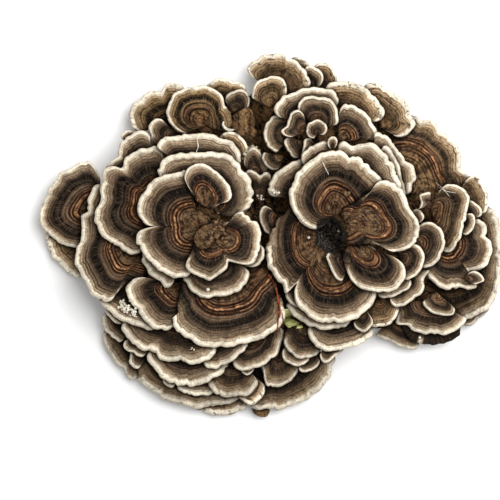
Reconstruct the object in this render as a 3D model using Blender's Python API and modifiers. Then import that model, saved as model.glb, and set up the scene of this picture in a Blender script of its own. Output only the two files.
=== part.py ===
"""Turkey tail fungus: a cluster of overlapping bracket caps on one shared crust, cut off flat.

The file models every cap as its own closed shelf and the crust as one flat-bottomed mound.
Lengths in the tables are millimetres. +Z is up, and the origin is on the cut face.
"""

import math

import bmesh
import bpy
import numpy as np
from mathutils import Vector
from mathutils.bvhtree import BVHTree

MM = 0.001

# Driving dimensions, in millimetres
CAP_THICKNESS = 1.9
STACK_GAP = 1.3
LIFT_SLOPE = 0.28
CLIMB = 0.17
DROOP = 0.20
RUFFLE = 0.7
WAVES_PER_CELL = 0.7
LOWEST_UNDERSIDE = 1.2
KNOB_SHARE = 0.13
KNOB_EXTRA = 1.4
CRUST_SLOPE = 1.35
CRUST_RIM = 1.6
CRUST_CLEARANCE = 0.55
CRUST_CENTRE = (-6.0, -4.0)
CRUST_SEARCH = 140.0
CRUST_LEAST_RADIUS = 10.0
KNOB_FLAT_SHARE = 0.6
ABOVE_ALL = 200.0

# The height map that the caps are stacked on
RASTER_CELL = 1.0
RASTER_HALF = (130.0, 105.0)
LIFT_TOLERANCE = 0.02
LIFT_ROUNDS = 3
FILL_PARTS = 8

# Mesh density
CRUST_SEGMENTS = 46
CRUST_RINGS = 26
CELL_ALONG_MARGIN = 7.5
FEWEST_CELLS = 5
MOST_CELLS = 14
LONG_REACH = 20.0
SPLINE_STEPS = 12
MEASURING_POINTS = 24

# How finely the crust is searched: for its outline, and for where a cap comes clear of it
OUTLINE_STEP = 0.5
SHARE_STEP = 0.02
SPOKES_PER_CELL = 4
LATEST_START = 0.9
CROWN_RISE = 0.2

FINISHES = {
    "young": ((0.20, 0.13, 0.08), 0.62),
    "rusty": ((0.24, 0.10, 0.04), 0.60),
    "weathered": ((0.23, 0.17, 0.08), 0.75),
    "shaded": ((0.10, 0.07, 0.05), 0.70),
    "crust": ((0.09, 0.05, 0.03), 0.85),
}

# Each cap: name, finish, seat (x, y) on the crust, height of the seat, and the margin, read
# anticlockwise or clockwise round the fan. The list runs from the lowest cap to the highest.
CAPS = [
    ("far_right_cap", "young", (91, -7.5), 9,
     [(108.5, 16), (112.5, 13.5), (115.5, 8.5), (117, -2.5), (117, -15), (115.5, -25),
      (113, -33.5), (108, -38.5), (100, -42.5), (95, -44)]),
    ("right_old_outer_cap", "weathered", (67.5, 27.5), 14,
     [(57, 42), (62, 54), (71, 60.5), (76.5, 58), (81, 58.5), (84, 56), (85.5, 53), (89.5, 50.5),
      (93, 47.5), (95.5, 43.5), (96.5, 39), (96, 34.5), (99, 30.5), (102, 28.5), (99, 22)]),
    ("right_outer_cap", "weathered", (90, 12.5), 16,
     [(99, 28.5), (102.5, 30), (105, 29), (107.5, 25.5), (109.5, 20), (110, 16), (109, 12),
      (106.5, 10)]),
    ("top_far_right_cap", "weathered", (56, 53.5), 19,
     [(46.5, 75.5), (50, 76.5), (55, 76.5), (59.5, 73.5), (64, 70.5), (68, 67.5), (70, 64),
      (70.5, 61), (72.5, 58.5), (73, 55.5), (71, 52), (67.5, 49.5), (65, 48.5)]),
    ("top_right_cap", "weathered", (40, 58.5), 21,
     [(26.5, 74), (31, 76.5), (36, 77.5), (41.5, 77), (46, 75), (50, 72.5), (53.5, 68.5),
      (56.5, 65), (57.5, 61.5), (56.5, 58.5), (54, 56.5)]),
    ("top_outer_cap", "weathered", (6.5, 70), 14,
     [(-6, 78), (-9.5, 80), (-11.5, 83.5), (-10, 86.5), (-6.5, 88.5), (-3.5, 90.5), (1.5, 91.5),
      (6, 91.5), (10, 89), (14, 87.5), (17, 84), (19.5, 80), (20.5, 76.5), (20, 73.5)]),
    ("top_back_old_cap", "weathered", (-23, 63.5), 11,
     [(-33.5, 74), (-30, 77), (-26, 79), (-22, 79), (-18, 77.5), (-14.5, 77), (-12, 74.5),
      (-11.5, 72)]),
    ("top_left_outer_cap", "weathered", (-49, 55.5), 12,
     [(-68, 51.5), (-70, 55.5), (-71, 60), (-69.5, 66), (-66.5, 68), (-63.5, 71), (-60, 72.5),
      (-55, 73), (-52, 76.5), (-47.5, 76.5), (-42, 74.5)]),
    ("left_outer_lower_cap", "weathered", (-87.5, 0), 7,
     [(-114, 2.5), (-113, -3.5), (-110, -10.5), (-106, -15), (-100.5, -20), (-95, -22.5)]),
    ("left_outer_cap", "rusty", (-87, 13.5), 13,
     [(-85, 29), (-90, 36.5), (-94.5, 37.5), (-99.5, 34), (-105, 32), (-108, 27.5), (-112, 22.5),
      (-114.5, 15.5), (-116.5, 9.5), (-114.5, 3.5), (-109, -2), (-103.5, -5), (-96, -7)]),
    ("lower_left_outer_cap", "shaded", (-65, -50), 7,
     [(-84.5, -48), (-84.5, -52.5), (-83, -57), (-80, -61.5), (-76.5, -66), (-73.5, -68),
      (-72, -71.5), (-69.5, -73.5), (-66, -73.5)]),
    ("front_bottom_cap", "weathered", (-26, -62.5), 6,
     [(-38.5, -88), (-32.5, -90), (-25, -91), (-18.5, -90.5), (-13.5, -88.5), (-10, -86)]),
    ("front_outer_left_cap", "shaded", (-40, -57.5), 9.5,
     [(-60, -55), (-66, -62), (-66.5, -69), (-65.5, -74), (-60, -78), (-55, -82), (-49, -84.5),
      (-42.5, -86.5), (-36, -87.5), (-30, -86.5), (-24, -85.5), (-17.5, -84), (-12.5, -81.5)]),
    ("front_outer_right_cap", "shaded", (10, -57.5), 8,
     [(-14, -70), (-12, -80), (-9, -87), (-4, -88), (1, -88), (5.5, -88.5), (9.5, -86.5),
      (15, -85), (20, -82), (24.5, -79), (28.5, -74.5), (31.5, -69), (33, -63.5), (33.5, -59.5)]),
    ("lower_right_dark_cap", "shaded", (80, -37.5), 7,
     [(98, -42), (96, -48), (95.5, -50.5), (92, -53), (86.5, -55), (80.5, -55.5), (75.5, -54.5),
      (70, -52), (66, -44)]),
    ("lower_right_front_cap", "young", (81, -32.5), 15,
     [(63, -41.5), (64.5, -45), (69, -45.5), (72, -48), (76.5, -49.5), (82.5, -50), (89, -50),
      (93.5, -48), (97.5, -45), (100, -42.5)]),
    ("front_low_middle_cap", "shaded", (-18, -58.5), 15,
     [(-32.5, -74.5), (-29.5, -77.5), (-26, -80.5), (-22, -81.5), (-15, -81), (-10, -80),
      (-7, -77), (-5, -74.5)]),
    ("front_third_cap", "young", (-41.5, -47.5), 17,
     [(-63.5, -59.5), (-61, -63), (-58, -67.5), (-55, -71), (-51.5, -73.5), (-46.5, -75.5),
      (-40, -76), (-34, -75), (-29, -72.5), (-24, -69.5), (-21, -66.5), (-19.5, -63.5)]),
    ("front_low_right_cap", "shaded", (5.5, -55), 15,
     [(-8, -61), (-4, -67.5), (-3, -72), (-1.5, -76), (2.5, -76.5), (7, -75.5), (11, -73),
      (14, -69), (15, -66)]),
    ("front_middle_right_cap", "young", (-8, -47.5), 19,
     [(-19.5, -64.5), (-17, -67), (-13, -68), (-8, -67), (-3.5, -65.5), (0.5, -62.5), (4.5, -59),
      (5.5, -54.5), (7.5, -50), (6.5, -46)]),
    ("front_middle_cap", "young", (-27, -45), 21,
     [(-34, -64.5), (-31.5, -66.5), (-27.5, -67), (-23, -65.5), (-19, -63), (-15, -60),
      (-11.5, -56.5), (-10, -53.5)]),
    ("front_second_cap", "young", (-49, -35), 22,
     [(-74, -42.5), (-74.5, -46), (-72, -51), (-68, -55.5), (-63.5, -58), (-59.5, -58),
      (-56, -61.5), (-51, -63.5), (-45.5, -63), (-42, -64.5), (-37.5, -64.5), (-32, -63),
      (-28, -60.5), (-25.5, -57)]),
    ("lower_left_first_cap", "young", (-55, -25), 26,
     [(-80, -21), (-87, -27), (-85, -34), (-82, -37), (-78.5, -40), (-74.5, -43), (-69.5, -44.5),
      (-65.5, -46), (-61, -47.5), (-56, -48)]),
    ("front_right_dark_cap", "shaded", (17.5, -43.5), 22,
     [(8, -47), (7, -54), (9, -58), (12.5, -61), (16.5, -62), (20.5, -61.5), (23.5, -60),
      (25.5, -57.5), (25, -50)]),
    ("front_right_brown_cap", "rusty", (36, -32.5), 24,
     [(18.5, -46), (19, -50), (21.5, -54), (24.5, -57), (30, -58), (36, -57.5), (42, -56),
      (47, -54), (51, -51), (53, -46.5)]),
    ("lower_middle_right_cap", "weathered", (55, -29), 26,
     [(65, -35.5), (64, -39.5), (62, -43), (58.5, -45.5), (54, -46), (50, -45.5), (47, -43)]),
    ("right_lower_cap", "rusty", (87.5, -2.5), 22,
     [(105, 9), (107.5, 6.5), (109, 3), (108.5, -0.5), (111, -3), (111.5, -7), (110.5, -12),
      (108, -16), (103.5, -18), (100, -18.5), (102.5, -22.5), (104, -26), (100, -27.5),
      (96.5, -26.5), (91, -27.5), (85.5, -26.5), (82, -23.5), (79, -21)]),
    ("right_under_cap", "young", (64, -18.5), 27,
     [(81, -17.5), (78, -20.5), (77, -23.5), (77.5, -26.5), (75, -30), (71, -33), (66.5, -35.5),
      (62, -36), (59.5, -33.5)]),
    ("right_middle_cap", "rusty", (80, 13.5), 27,
     [(85.5, 23.5), (89, 25.5), (93.5, 25), (97.5, 22.5), (100, 19), (99, 14.5), (98.5, 11),
      (97.5, 6.5), (96, 1), (94, -4), (91, -8), (87, -9.5)]),
    ("right_round_cap", "young", (72.5, -4.5), 33.5,
     [(73.5, 4.5), (76.5, 6), (80.5, 6.5), (84, 4.5), (86.5, 1), (87.5, -3.5), (86.5, -8),
      (84.5, -12), (81, -15.5), (77.5, -16.5), (74.5, -15.5)]),
    ("right_small_round_cap", "young", (64, -10.5), 38,
     [(71.5, -4), (74.5, -5.5), (76.5, -8.5), (77, -12.5), (75.5, -17), (72.5, -20.5),
      (68.5, -22.5), (66, -22.5)]),
    ("top_inner_left_cap", "weathered", (0, 63.5), 19,
     [(-10, 69.5), (-8.5, 73.5), (-6.5, 77), (-3, 79), (1.5, 80), (5, 79.5), (7.5, 77.5),
      (8.5, 74), (9, 71)]),
    ("top_middle_old_cap", "weathered", (-21, 58.5), 20,
     [(-12, 64.5), (-8.5, 62), (-7.5, 58), (-7.5, 54), (-6.5, 51.5), (-8.5, 48.5), (-11.5, 46),
      (-16, 47.5), (-20, 50.5)]),
    ("top_left_big_cap", "rusty", (-32, 54.5), 24,
     [(-44.5, 50.5), (-48, 53.5), (-51, 57.5), (-52, 61.5), (-50, 68), (-46.5, 72), (-41.5, 74),
      (-36, 75), (-31, 74.5), (-26.5, 72.5), (-23.5, 69), (-22.5, 65), (-19, 59), (-21, 51)]),
    ("left_shoulder_cap", "young", (-60, 31.5), 25,
     [(-60, 51), (-64, 52.5), (-68, 51.5), (-72, 49), (-75.5, 45), (-77, 40), (-80.5, 36.5),
      (-83, 32.5), (-84.5, 29.5)]),
    ("left_lower_big_cap", "rusty", (-61, 0), 22,
     [(-85, 27), (-89, 23.5), (-91.5, 18), (-92, 13), (-94.5, 9.5), (-95, 5.5), (-94.5, 1.5),
      (-95, -2.5), (-97, -7), (-98, -12.5), (-96.5, -17), (-93, -23), (-90, -28.5), (-86.5, -32),
      (-82.5, -33.5), (-79, -32.5), (-77, -29.5), (-71, -24), (-61, -22)]),
    ("left_middle_big_cap", "rusty", (-56, 15), 31,
     [(-52.5, 38.5), (-54.5, 42.5), (-58, 44.5), (-62, 43.5), (-66, 42.5), (-70, 40.5),
      (-73, 37.5), (-74, 33.5), (-78.5, 34.5), (-83, 33), (-84.5, 27.5), (-85, 21.5), (-85, 16),
      (-87.5, 12), (-87.5, 6.5), (-85, 1), (-80.5, -3.5), (-75, -7), (-69.5, -9.5),
      (-65.5, -9.5), (-63.5, -7.5)]),
    ("upper_rim_cap", "rusty", (-35, 27.5), 37,
     [(-57.5, 44.5), (-55.5, 47.5), (-52, 49), (-47, 49.5), (-42, 50.5), (-37, 50.5), (-32, 51),
      (-26, 49), (-20.5, 47.5), (-16.5, 44), (-14.5, 39.5), (-14, 34.5)]),
    ("centre_left_cap", "young", (11.5, 50), 24,
     [(4, 60.5), (0.5, 59), (-2, 56), (-3, 52), (-3, 47.5), (-1, 44), (1.5, 42), (2.5, 40.5)]),
    ("top_centre_cap", "young", (20, 55), 24,
     [(2.5, 59.5), (2, 63.5), (4, 67), (7.5, 70), (12, 71.5), (16.5, 73.5), (22, 74), (27, 73.5),
      (31, 73), (34, 70), (35.5, 66.5)]),
    ("top_inner_right_cap", "rusty", (34, 46.5), 29,
     [(34, 60.5), (36, 64.5), (39, 66), (43, 64.5), (47, 62), (50, 58.5), (52, 55.5),
      (53.5, 52), (54, 48)]),
    ("top_centre_inner_cap", "young", (24, 52.5), 31,
     [(13.5, 61.5), (14.5, 66), (17, 69), (21, 69.5), (26, 69), (30.5, 68), (33, 64.5), (34, 60),
      (34.5, 55.5)]),
    ("centre_grey_lobe_cap", "young", (19, 51.5), 34,
     [(16.5, 61), (13.5, 62.5), (10.5, 61), (9, 57.5), (8, 54.5), (5.5, 52), (6.5, 50),
      (9.5, 48.5)]),
    ("right_back_upper_cap", "young", (52.5, 25), 31,
     [(52, 52), (56.5, 51), (60, 48), (63, 44), (66, 40.5), (68.5, 37), (71.5, 34.5), (73, 31),
      (73, 27.5), (71, 25.5), (71, 22.5), (68.5, 19.5)]),
    ("right_rosette_under_cap", "young", (27.5, -22.5), 32,
     [(6.5, -35.5), (10, -38.5), (13.5, -42), (19, -45), (25.5, -47.5), (31.5, -47), (38, -46),
      (41.5, -44)]),
    ("front_left_pale_cap", "young", (-41, -25), 31,
     [(-60, -22), (-64.5, -21), (-69, -22.5), (-72, -26.5), (-71, -31), (-68.5, -35),
      (-65, -39.5), (-61, -44.5), (-56, -47.5), (-51, -47.5), (-47, -45.5)]),
    ("big_front_cap", "rusty", (-21, -18.5), 34,
     [(-43, -20), (-45, -28), (-46, -34), (-46, -39), (-49, -42), (-47.5, -47), (-43.5, -50),
      (-39, -53), (-34.5, -55.5), (-28.5, -56), (-21, -56), (-14.5, -54.5), (-8.5, -53.5),
      (-2.5, -51), (3, -47.5), (7, -43), (7.5, -38.5), (6.5, -33.5), (4, -27.5)]),
    ("right_rosette_left_cap", "young", (19, 17.5), 36,
     [(-1, 19.5), (-1, 24), (0.5, 28), (3.5, 31.5), (7, 34), (11, 36.5), (15, 38), (17.5, 37.5)]),
    ("right_rosette_grey_cap", "young", (40, 19), 41,
     [(33, 42), (34, 45), (37.5, 46.5), (40.5, 44.5), (43.5, 45), (48, 46), (52.5, 45),
      (56.5, 41.5), (60, 37.5), (62.5, 33), (64.5, 28), (66.5, 22.5)]),
    ("right_rosette_front_cap", "rusty", (28, -1), 40,
     [(12, 15), (7, 11), (2, 5), (-0.5, -1.5), (-2.5, -7.5), (-2, -12), (-1, -16), (2.5, -21),
      (6, -25.5), (8, -29), (13, -24.5), (12, -28.5), (13, -34), (17.5, -39), (23, -43),
      (30, -44), (37.5, -43.5), (44, -41), (49.5, -36.5), (53, -31), (54, -27)]),
    ("left_under_front_cap", "young", (-27.5, -10), 38,
     [(-45, -21.5), (-41, -25.5), (-38, -29), (-34.5, -31), (-30.5, -31.5), (-26.5, -30.5),
      (-21.5, -30.5), (-16.5, -28.5), (-12.5, -25), (-10.5, -21), (-10.5, -18), (-12.5, -16)]),
    ("left_rosette_back_cap", "young", (-31, 11), 44,
     [(-50, 17), (-55, 29), (-56, 32.5), (-54, 36.5), (-50.5, 39.5), (-47, 40), (-44.5, 41),
      (-40, 41), (-35, 41), (-29.5, 41.5), (-24, 41), (-19, 39), (-14.5, 34.5), (-10.5, 29),
      (-8.5, 23.5), (-8, 18), (-10, 14), (-13, 11.5), (-17, 8)]),
    ("right_rosette_lower_cap", "rusty", (41, -3), 46,
     [(35.5, -9), (37, -15), (39, -20), (41, -23.5), (45, -26.5), (51, -28), (58.5, -28.5),
      (63, -26.5), (66, -23.5), (67.5, -19.5), (66.5, -15), (62.5, -11.5), (57.5, -9.5),
      (54, -8.5), (50, -4)]),
    ("left_rosette_left_cap", "rusty", (-34.5, 3.5), 48,
     [(-37, 14), (-40, 22), (-41.5, 31.5), (-46.5, 31), (-52, 30), (-57, 28), (-60.5, 24.5),
      (-64, 19.5), (-66, 14), (-65, 9), (-64, 5), (-65.5, 1.5), (-66.5, -3), (-64, -8),
      (-60, -13), (-54.5, -18), (-48.5, -21), (-42.5, -21), (-39.5, -19), (-37, -14)]),
    ("right_rosette_back_cap", "rusty", (32, 9.5), 49,
     [(24, 2), (19, 3.5), (15, 6.5), (11.5, 11.5), (9.5, 17.5), (10, 23.5), (12.5, 29.5),
      (16.5, 34), (20.5, 37.5), (25, 40.5), (31, 42), (36.5, 41.5), (39.5, 39), (44, 39),
      (47.5, 36), (51, 32), (54.5, 28.5), (57, 23.5), (52, 16)]),
    ("left_rosette_crescent_cap", "rusty", (-32, 13.5), 51,
     [(-41, 24.5), (-42.5, 28.5), (-41.5, 32), (-38, 35), (-34, 35.5), (-30, 34), (-26, 31),
      (-22.5, 27.5), (-19.5, 22.5), (-19, 19), (-21, 16.5), (-24, 16)]),
    ("right_rosette_top_cap", "rusty", (38, 5.5), 53,
     [(34, 11), (39, 14.5), (44, 17.5), (50.5, 22), (53, 26), (56.5, 27), (61, 26), (65, 23),
      (67.5, 18.5), (69, 13.5), (72, 9.5), (74, 4), (73.5, -1.5), (70.5, -5.5), (66.5, -7.5),
      (61.5, -8.5), (57.5, -7), (55.5, -5.5), (50, -4.5), (44, -5), (39, -4.5), (34.5, -3)]),
    ("left_rosette_front_cap", "rusty", (-27.5, -2), 54,
     [(-33, 4), (-28, 6.5), (-23, 6), (-19.5, 7), (-17, 10.5), (-13.5, 11.5), (-10.5, 9),
      (-9.5, 7), (-6.5, 6.5), (-5, 2.5), (-4.5, -2.5), (-5.5, -8.5), (-8, -13.5), (-11.5, -15),
      (-15, -13), (-20, -11), (-20.5, -15.5), (-23.5, -18.5), (-27, -21), (-30.5, -22.5),
      (-34.5, -21), (-39, -19.5), (-41.5, -16.5), (-41.5, -13.5), (-38, -6), (-35.5, 1)]),
]


def spline_point(before, start, end, after, share):
    """Point on the Catmull-Rom curve between start and end."""
    square = share * share
    cube = square * share
    return 0.5 * (2.0 * start + (end - before) * share
                  + (2.0 * before - 5.0 * start + 4.0 * end - after) * square
                  + (3.0 * start - before - 3.0 * end + after) * cube)


def smooth_margin(points, count):
    """The margin as a smooth curve, read at count places an even distance apart."""
    raw = np.array(points, dtype=float)
    padded = np.vstack([2.0 * raw[0] - raw[1], raw, 2.0 * raw[-1] - raw[-2]])
    dense = [spline_point(*padded[i:i + 4], step / SPLINE_STEPS)
             for i in range(len(raw) - 1) for step in range(SPLINE_STEPS)]
    dense = np.array(dense + [raw[-1]])
    length = np.concatenate([[0.0], np.cumsum(np.linalg.norm(np.diff(dense, axis=0), axis=1))])
    places = np.linspace(0.0, length[-1], count)
    return np.column_stack([np.interp(places, length, dense[:, axis]) for axis in (0, 1)])


class Raster:
    """Height map of everything placed so far."""

    def __init__(self):
        columns = int(2.0 * RASTER_HALF[0] / RASTER_CELL) + 1
        rows = int(2.0 * RASTER_HALF[1] / RASTER_CELL) + 1
        self.height = np.zeros((columns, rows))

    def cells(self, plan):
        column = np.rint((plan[..., 0] + RASTER_HALF[0]) / RASTER_CELL).astype(int)
        row = np.rint((plan[..., 1] + RASTER_HALF[1]) / RASTER_CELL).astype(int)
        return (np.clip(column, 0, self.height.shape[0] - 1),
                np.clip(row, 0, self.height.shape[1] - 1))

    def widened(self):
        """Each cell takes the highest value of its neighbourhood."""
        padded = np.pad(self.height, 1, mode="edge")
        columns, rows = self.height.shape
        shifts = [padded[i:i + columns, j:j + rows] for i in range(3) for j in range(3)]
        return np.max(shifts, axis=0)

    def add(self, plan, top):
        np.maximum.at(self.height, self.cells(plan), top)


def fill_cells(grid):
    """Points all over a coarse grid, as its flat cells hold them."""
    share = (np.arange(FILL_PARTS) + 0.5) / FILL_PARTS
    along, across = np.meshgrid(share, share, indexing="ij")
    corners = [grid[:-1, :-1], grid[1:, :-1], grid[:-1, 1:], grid[1:, 1:]]
    weights = [(1 - along) * (1 - across), along * (1 - across), (1 - along) * across,
               along * across]
    filled = sum(corner[:, :, None, None, :] * weight[None, None, :, :, None]
                 for corner, weight in zip(corners, weights))
    return filled.reshape(-1, grid.shape[2])


class Cap:
    """One bracket: a fan from its seat to its margin, with its height at every grid point."""

    def __init__(self, name, finish, seat, height, margin):
        self.name = name
        self.finish = finish
        self.seat = np.array(seat, dtype=float)
        self.seat_height = height
        rough = smooth_margin(margin, MEASURING_POINTS)
        run = np.linalg.norm(np.diff(rough, axis=0), axis=1).sum()
        self.reach = np.linalg.norm(rough - self.seat, axis=1).mean()
        self.across = int(np.clip(round(run / CELL_ALONG_MARGIN), FEWEST_CELLS, MOST_CELLS))
        self.out = 3 if self.reach > LONG_REACH else 2
        self.rim = smooth_margin(margin, self.across + 1)
        self.start = np.full(self.across + 1, KNOB_SHARE)
        self.lift_points = np.zeros((0, 2))
        self.lift_values = np.zeros(0)

    def shares(self):
        """Fraction of the way from seat to margin, for each grid point."""
        steps = np.linspace(0.0, 1.0, self.out + 1)
        return self.start[:, None] + (1.0 - self.start[:, None]) * steps[None, :]

    def design_height(self, share, spoke):
        rise = CLIMB * self.reach * share - DROOP * self.reach * share ** 3
        wave = RUFFLE * share ** 2 * np.sin(spoke * math.pi * self.across * WAVES_PER_CELL)
        return self.seat_height + rise + wave

    def lift_at(self, plan):
        """Cone-shaped envelope of what the caps below ask for."""
        if len(self.lift_values) == 0:
            return np.zeros(plan.shape[:-1])
        away = np.linalg.norm(plan[..., None, :] - self.lift_points, axis=-1)
        return np.max(self.lift_values - LIFT_SLOPE * away, axis=-1).clip(0.0)

    def surface(self):
        """Grid of top surface points, in millimetres."""
        share = self.shares()
        spoke = np.linspace(0.0, 1.0, self.across + 1)[:, None]
        plan = self.seat + (self.rim[:, None, :] - self.seat) * share[..., None]
        top = self.design_height(share, spoke) + self.lift_at(plan)
        return np.concatenate([plan, top[..., None]], axis=-1)

    def rest_on(self, below):
        """Lift the cap clear of everything below it, then add it to the height map."""
        for _ in range(LIFT_ROUNDS):
            points = fill_cells(self.surface())
            floor = below.widened()[below.cells(points)]
            floor = np.maximum(floor, LOWEST_UNDERSIDE - STACK_GAP)
            need = floor + STACK_GAP + CAP_THICKNESS - points[:, 2]
            short = need > LIFT_TOLERANCE
            if not short.any():
                break
            current = self.lift_at(points[short][:, :2])
            cell = np.linalg.norm(self.rim[1] - self.rim[0])
            wanted = current + need[short] + LIFT_SLOPE * 0.5 * cell
            self.lift_points = np.vstack([self.lift_points, points[short][:, :2]])
            self.lift_values = np.concatenate([self.lift_values, wanted])
        points = fill_cells(self.surface())
        below.add(points[:, :2], points[:, 2])


def stack_caps():
    below = Raster()
    caps = [Cap(*row) for row in CAPS]
    for cap in caps:
        cap.rest_on(below)
    return caps


def crust_height(plan, knobs):
    """Top of the crust: a cone under every cap's seat, joined into one mound."""
    away = np.linalg.norm(plan[..., None, :] - knobs[:, :2], axis=-1)
    cones = knobs[:, 2] - CRUST_SLOPE * np.maximum(0.0, away - knobs[:, 3])
    return cones.max(axis=-1)


def crust_knobs(caps):
    """Position, height and flat radius of the knob that each cap grows from."""
    rows = []
    for cap in caps:
        inner = cap.surface()[:, 0, 2]
        radius = KNOB_SHARE * cap.reach * KNOB_FLAT_SHARE
        rows.append((*cap.seat, inner.mean() - 0.5 * CAP_THICKNESS + KNOB_EXTRA, radius))
    return np.array(rows)


def crust_outline(knobs, angle):
    """Distance from the centre to the crust's edge, in one direction."""
    distances = np.arange(CRUST_SEARCH, CRUST_LEAST_RADIUS, -OUTLINE_STEP)
    direction = np.array([math.cos(angle), math.sin(angle)])
    plan = np.array(CRUST_CENTRE) + distances[:, None] * direction
    inside = crust_height(plan, knobs) > CRUST_RIM
    return distances[inside][0]


def make_object(name, mesh, collection, finish):
    body = bpy.data.objects.new(name, mesh)
    body.data.materials.append(finish)
    collection.objects.link(body)
    return body


def make_finish(name, colour, roughness):
    finish = bpy.data.materials.new(name)
    finish.use_nodes = True
    shader = finish.node_tree.nodes["Principled BSDF"]
    shader.inputs["Base Color"].default_value = (*colour, 1.0)
    shader.inputs["Roughness"].default_value = roughness
    shader.inputs["Metallic"].default_value = 0.0
    return finish


def make_crust(knobs, collection, finish):
    """A ball whose upper half takes the crust's height and whose lower half is the flat cut."""
    mesh = bpy.data.meshes.new("fused_base")
    ball = bmesh.new()
    bmesh.ops.create_uvsphere(ball, u_segments=CRUST_SEGMENTS, v_segments=CRUST_RINGS, radius=1.0)
    outline = {}
    for vertex in ball.verts:
        tilt = math.acos(max(-1.0, min(1.0, vertex.co.z)))
        angle = math.atan2(vertex.co.y, vertex.co.x)
        key = round(angle, 4)
        if key not in outline:
            outline[key] = crust_outline(knobs, angle)
        upper = tilt <= 0.5 * math.pi + 1e-4
        share = tilt / (0.5 * math.pi) if upper else (math.pi - tilt) / (0.5 * math.pi)
        distance = share * outline[key]
        plan = np.array(CRUST_CENTRE) + distance * np.array([math.cos(angle), math.sin(angle)])
        height = max(CRUST_RIM, float(crust_height(plan, knobs))) if upper else 0.0
        vertex.co = Vector((plan[0], plan[1], height))
    crown = [vertex for vertex in ball.verts if vertex.co.z > CRUST_RIM + CROWN_RISE]
    for x, y, height, _ in sorted(knobs.tolist(), key=lambda knob: -knob[2]):
        nearest = min(crown, key=lambda vertex: (vertex.co.x - x) ** 2 + (vertex.co.y - y) ** 2)
        nearest.co = Vector((x, y, max(height, nearest.co.z)))
        crown.remove(nearest)
    tree = BVHTree.FromBMesh(ball)
    bmesh.ops.scale(ball, vec=(MM, MM, MM), verts=ball.verts)
    ball.to_mesh(mesh)
    ball.free()
    mesh.shade_flat()
    make_object("fused_base", mesh, collection, finish)
    return tree


def meet_crust(cap, tree):
    """Start the cap where its underside comes clear of the crust, in every direction."""
    spokes = np.linspace(0.0, cap.across, cap.across * SPOKES_PER_CELL + 1)
    start = np.full(len(spokes), KNOB_SHARE)
    for index, spoke in enumerate(spokes):
        low = min(int(spoke), cap.across - 1)
        rim = cap.rim[low] + (cap.rim[low + 1] - cap.rim[low]) * (spoke - low)
        for share in np.arange(1.0, KNOB_SHARE, -SHARE_STEP):
            plan = cap.seat + (rim - cap.seat) * share
            top = cap.design_height(share, spoke / cap.across) + cap.lift_at(plan)
            above = Vector((plan[0], plan[1], ABOVE_ALL))
            hit = tree.ray_cast(above, Vector((0.0, 0.0, -1.0)))[0]
            if hit is not None and hit.z > top - CAP_THICKNESS - CRUST_CLEARANCE:
                start[index] = share + SHARE_STEP
                break
    for index in range(cap.across + 1):
        first = max(0, (index - 1) * SPOKES_PER_CELL)
        near = start[first:(index + 1) * SPOKES_PER_CELL + 1]
        cap.start[index] = min(LATEST_START, near.max())


def make_cap(cap, collection, finish):
    """A grid moved onto the fan, given its thickness downwards."""
    mesh = bpy.data.meshes.new(cap.name)
    sheet = bmesh.new()
    bmesh.ops.create_grid(sheet, x_segments=cap.across, y_segments=cap.out, size=0.5)
    surface = cap.surface()
    for vertex in sheet.verts:
        column = round((vertex.co.x + 0.5) * cap.across)
        row = round((vertex.co.y + 0.5) * cap.out)
        vertex.co = Vector(surface[column, row]) * MM
    bmesh.ops.recalc_face_normals(sheet, faces=sheet.faces)
    sheet.normal_update()
    if sum(face.normal.z for face in sheet.faces) < 0.0:
        bmesh.ops.reverse_faces(sheet, faces=sheet.faces)
    sheet.to_mesh(mesh)
    sheet.free()
    body = make_object(cap.name, mesh, collection, finish)
    shell = body.modifiers.new("thickness", "SOLIDIFY")
    shell.thickness = CAP_THICKNESS * MM
    shell.offset = -1.0
    return body


def main():
    for old in list(bpy.data.objects):
        bpy.data.objects.remove(old, do_unlink=True)
    collection = bpy.data.collections.new("turkey_tail_fungus")
    bpy.context.scene.collection.children.link(collection)
    finishes = {name: make_finish(name, *values) for name, values in FINISHES.items()}
    caps = stack_caps()
    knobs = crust_knobs(caps)
    tree = make_crust(knobs, collection, finishes["crust"])
    for cap in caps:
        meet_crust(cap, tree)
        make_cap(cap, collection, finishes[cap.finish])


main()
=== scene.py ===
"""Looks of a turkey tail fungus cluster: zoned bracket caps on one dark crust, cut off flat.

Every cap is grown again as a fine shell over its solid, with raised growth rings, a rolled wavy
margin and a pore underside. Lengths in the tables are millimetres; objects are in metres.
"""

import functools
import math
from collections import namedtuple
from typing import NamedTuple

import bmesh
import bpy
import numpy as np
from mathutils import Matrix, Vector, noise


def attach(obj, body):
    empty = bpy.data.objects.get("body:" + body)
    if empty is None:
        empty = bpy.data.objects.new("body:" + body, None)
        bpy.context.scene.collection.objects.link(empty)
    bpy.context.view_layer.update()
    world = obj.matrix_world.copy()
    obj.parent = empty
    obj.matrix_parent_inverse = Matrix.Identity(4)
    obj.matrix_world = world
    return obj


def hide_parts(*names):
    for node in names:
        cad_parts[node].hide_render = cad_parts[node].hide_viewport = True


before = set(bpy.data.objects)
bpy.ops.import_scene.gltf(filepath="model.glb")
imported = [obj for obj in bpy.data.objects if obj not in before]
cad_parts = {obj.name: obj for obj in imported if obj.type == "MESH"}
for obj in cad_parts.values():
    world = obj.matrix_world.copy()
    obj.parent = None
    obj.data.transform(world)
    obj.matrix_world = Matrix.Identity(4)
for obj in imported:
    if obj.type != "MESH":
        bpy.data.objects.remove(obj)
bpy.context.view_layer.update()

bl_info = {
    "name": "Turkey tail fungus",
    "version": (1, 0, 0),
    "blender": (4, 5, 0),
    "location": "3D View > Sidebar > Fungus",
    "description": "Grows a cluster of zoned bracket caps round a shared crust",
    "category": "Mesh",
}

MM = 0.001
TURN = 2.0 * math.pi
# Relative wavelengths and weights of the sines in an uneven wave
WOBBLE_PARTS = ((1.0, 0.55), (0.61, 0.32), (1.73, 0.35))

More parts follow.
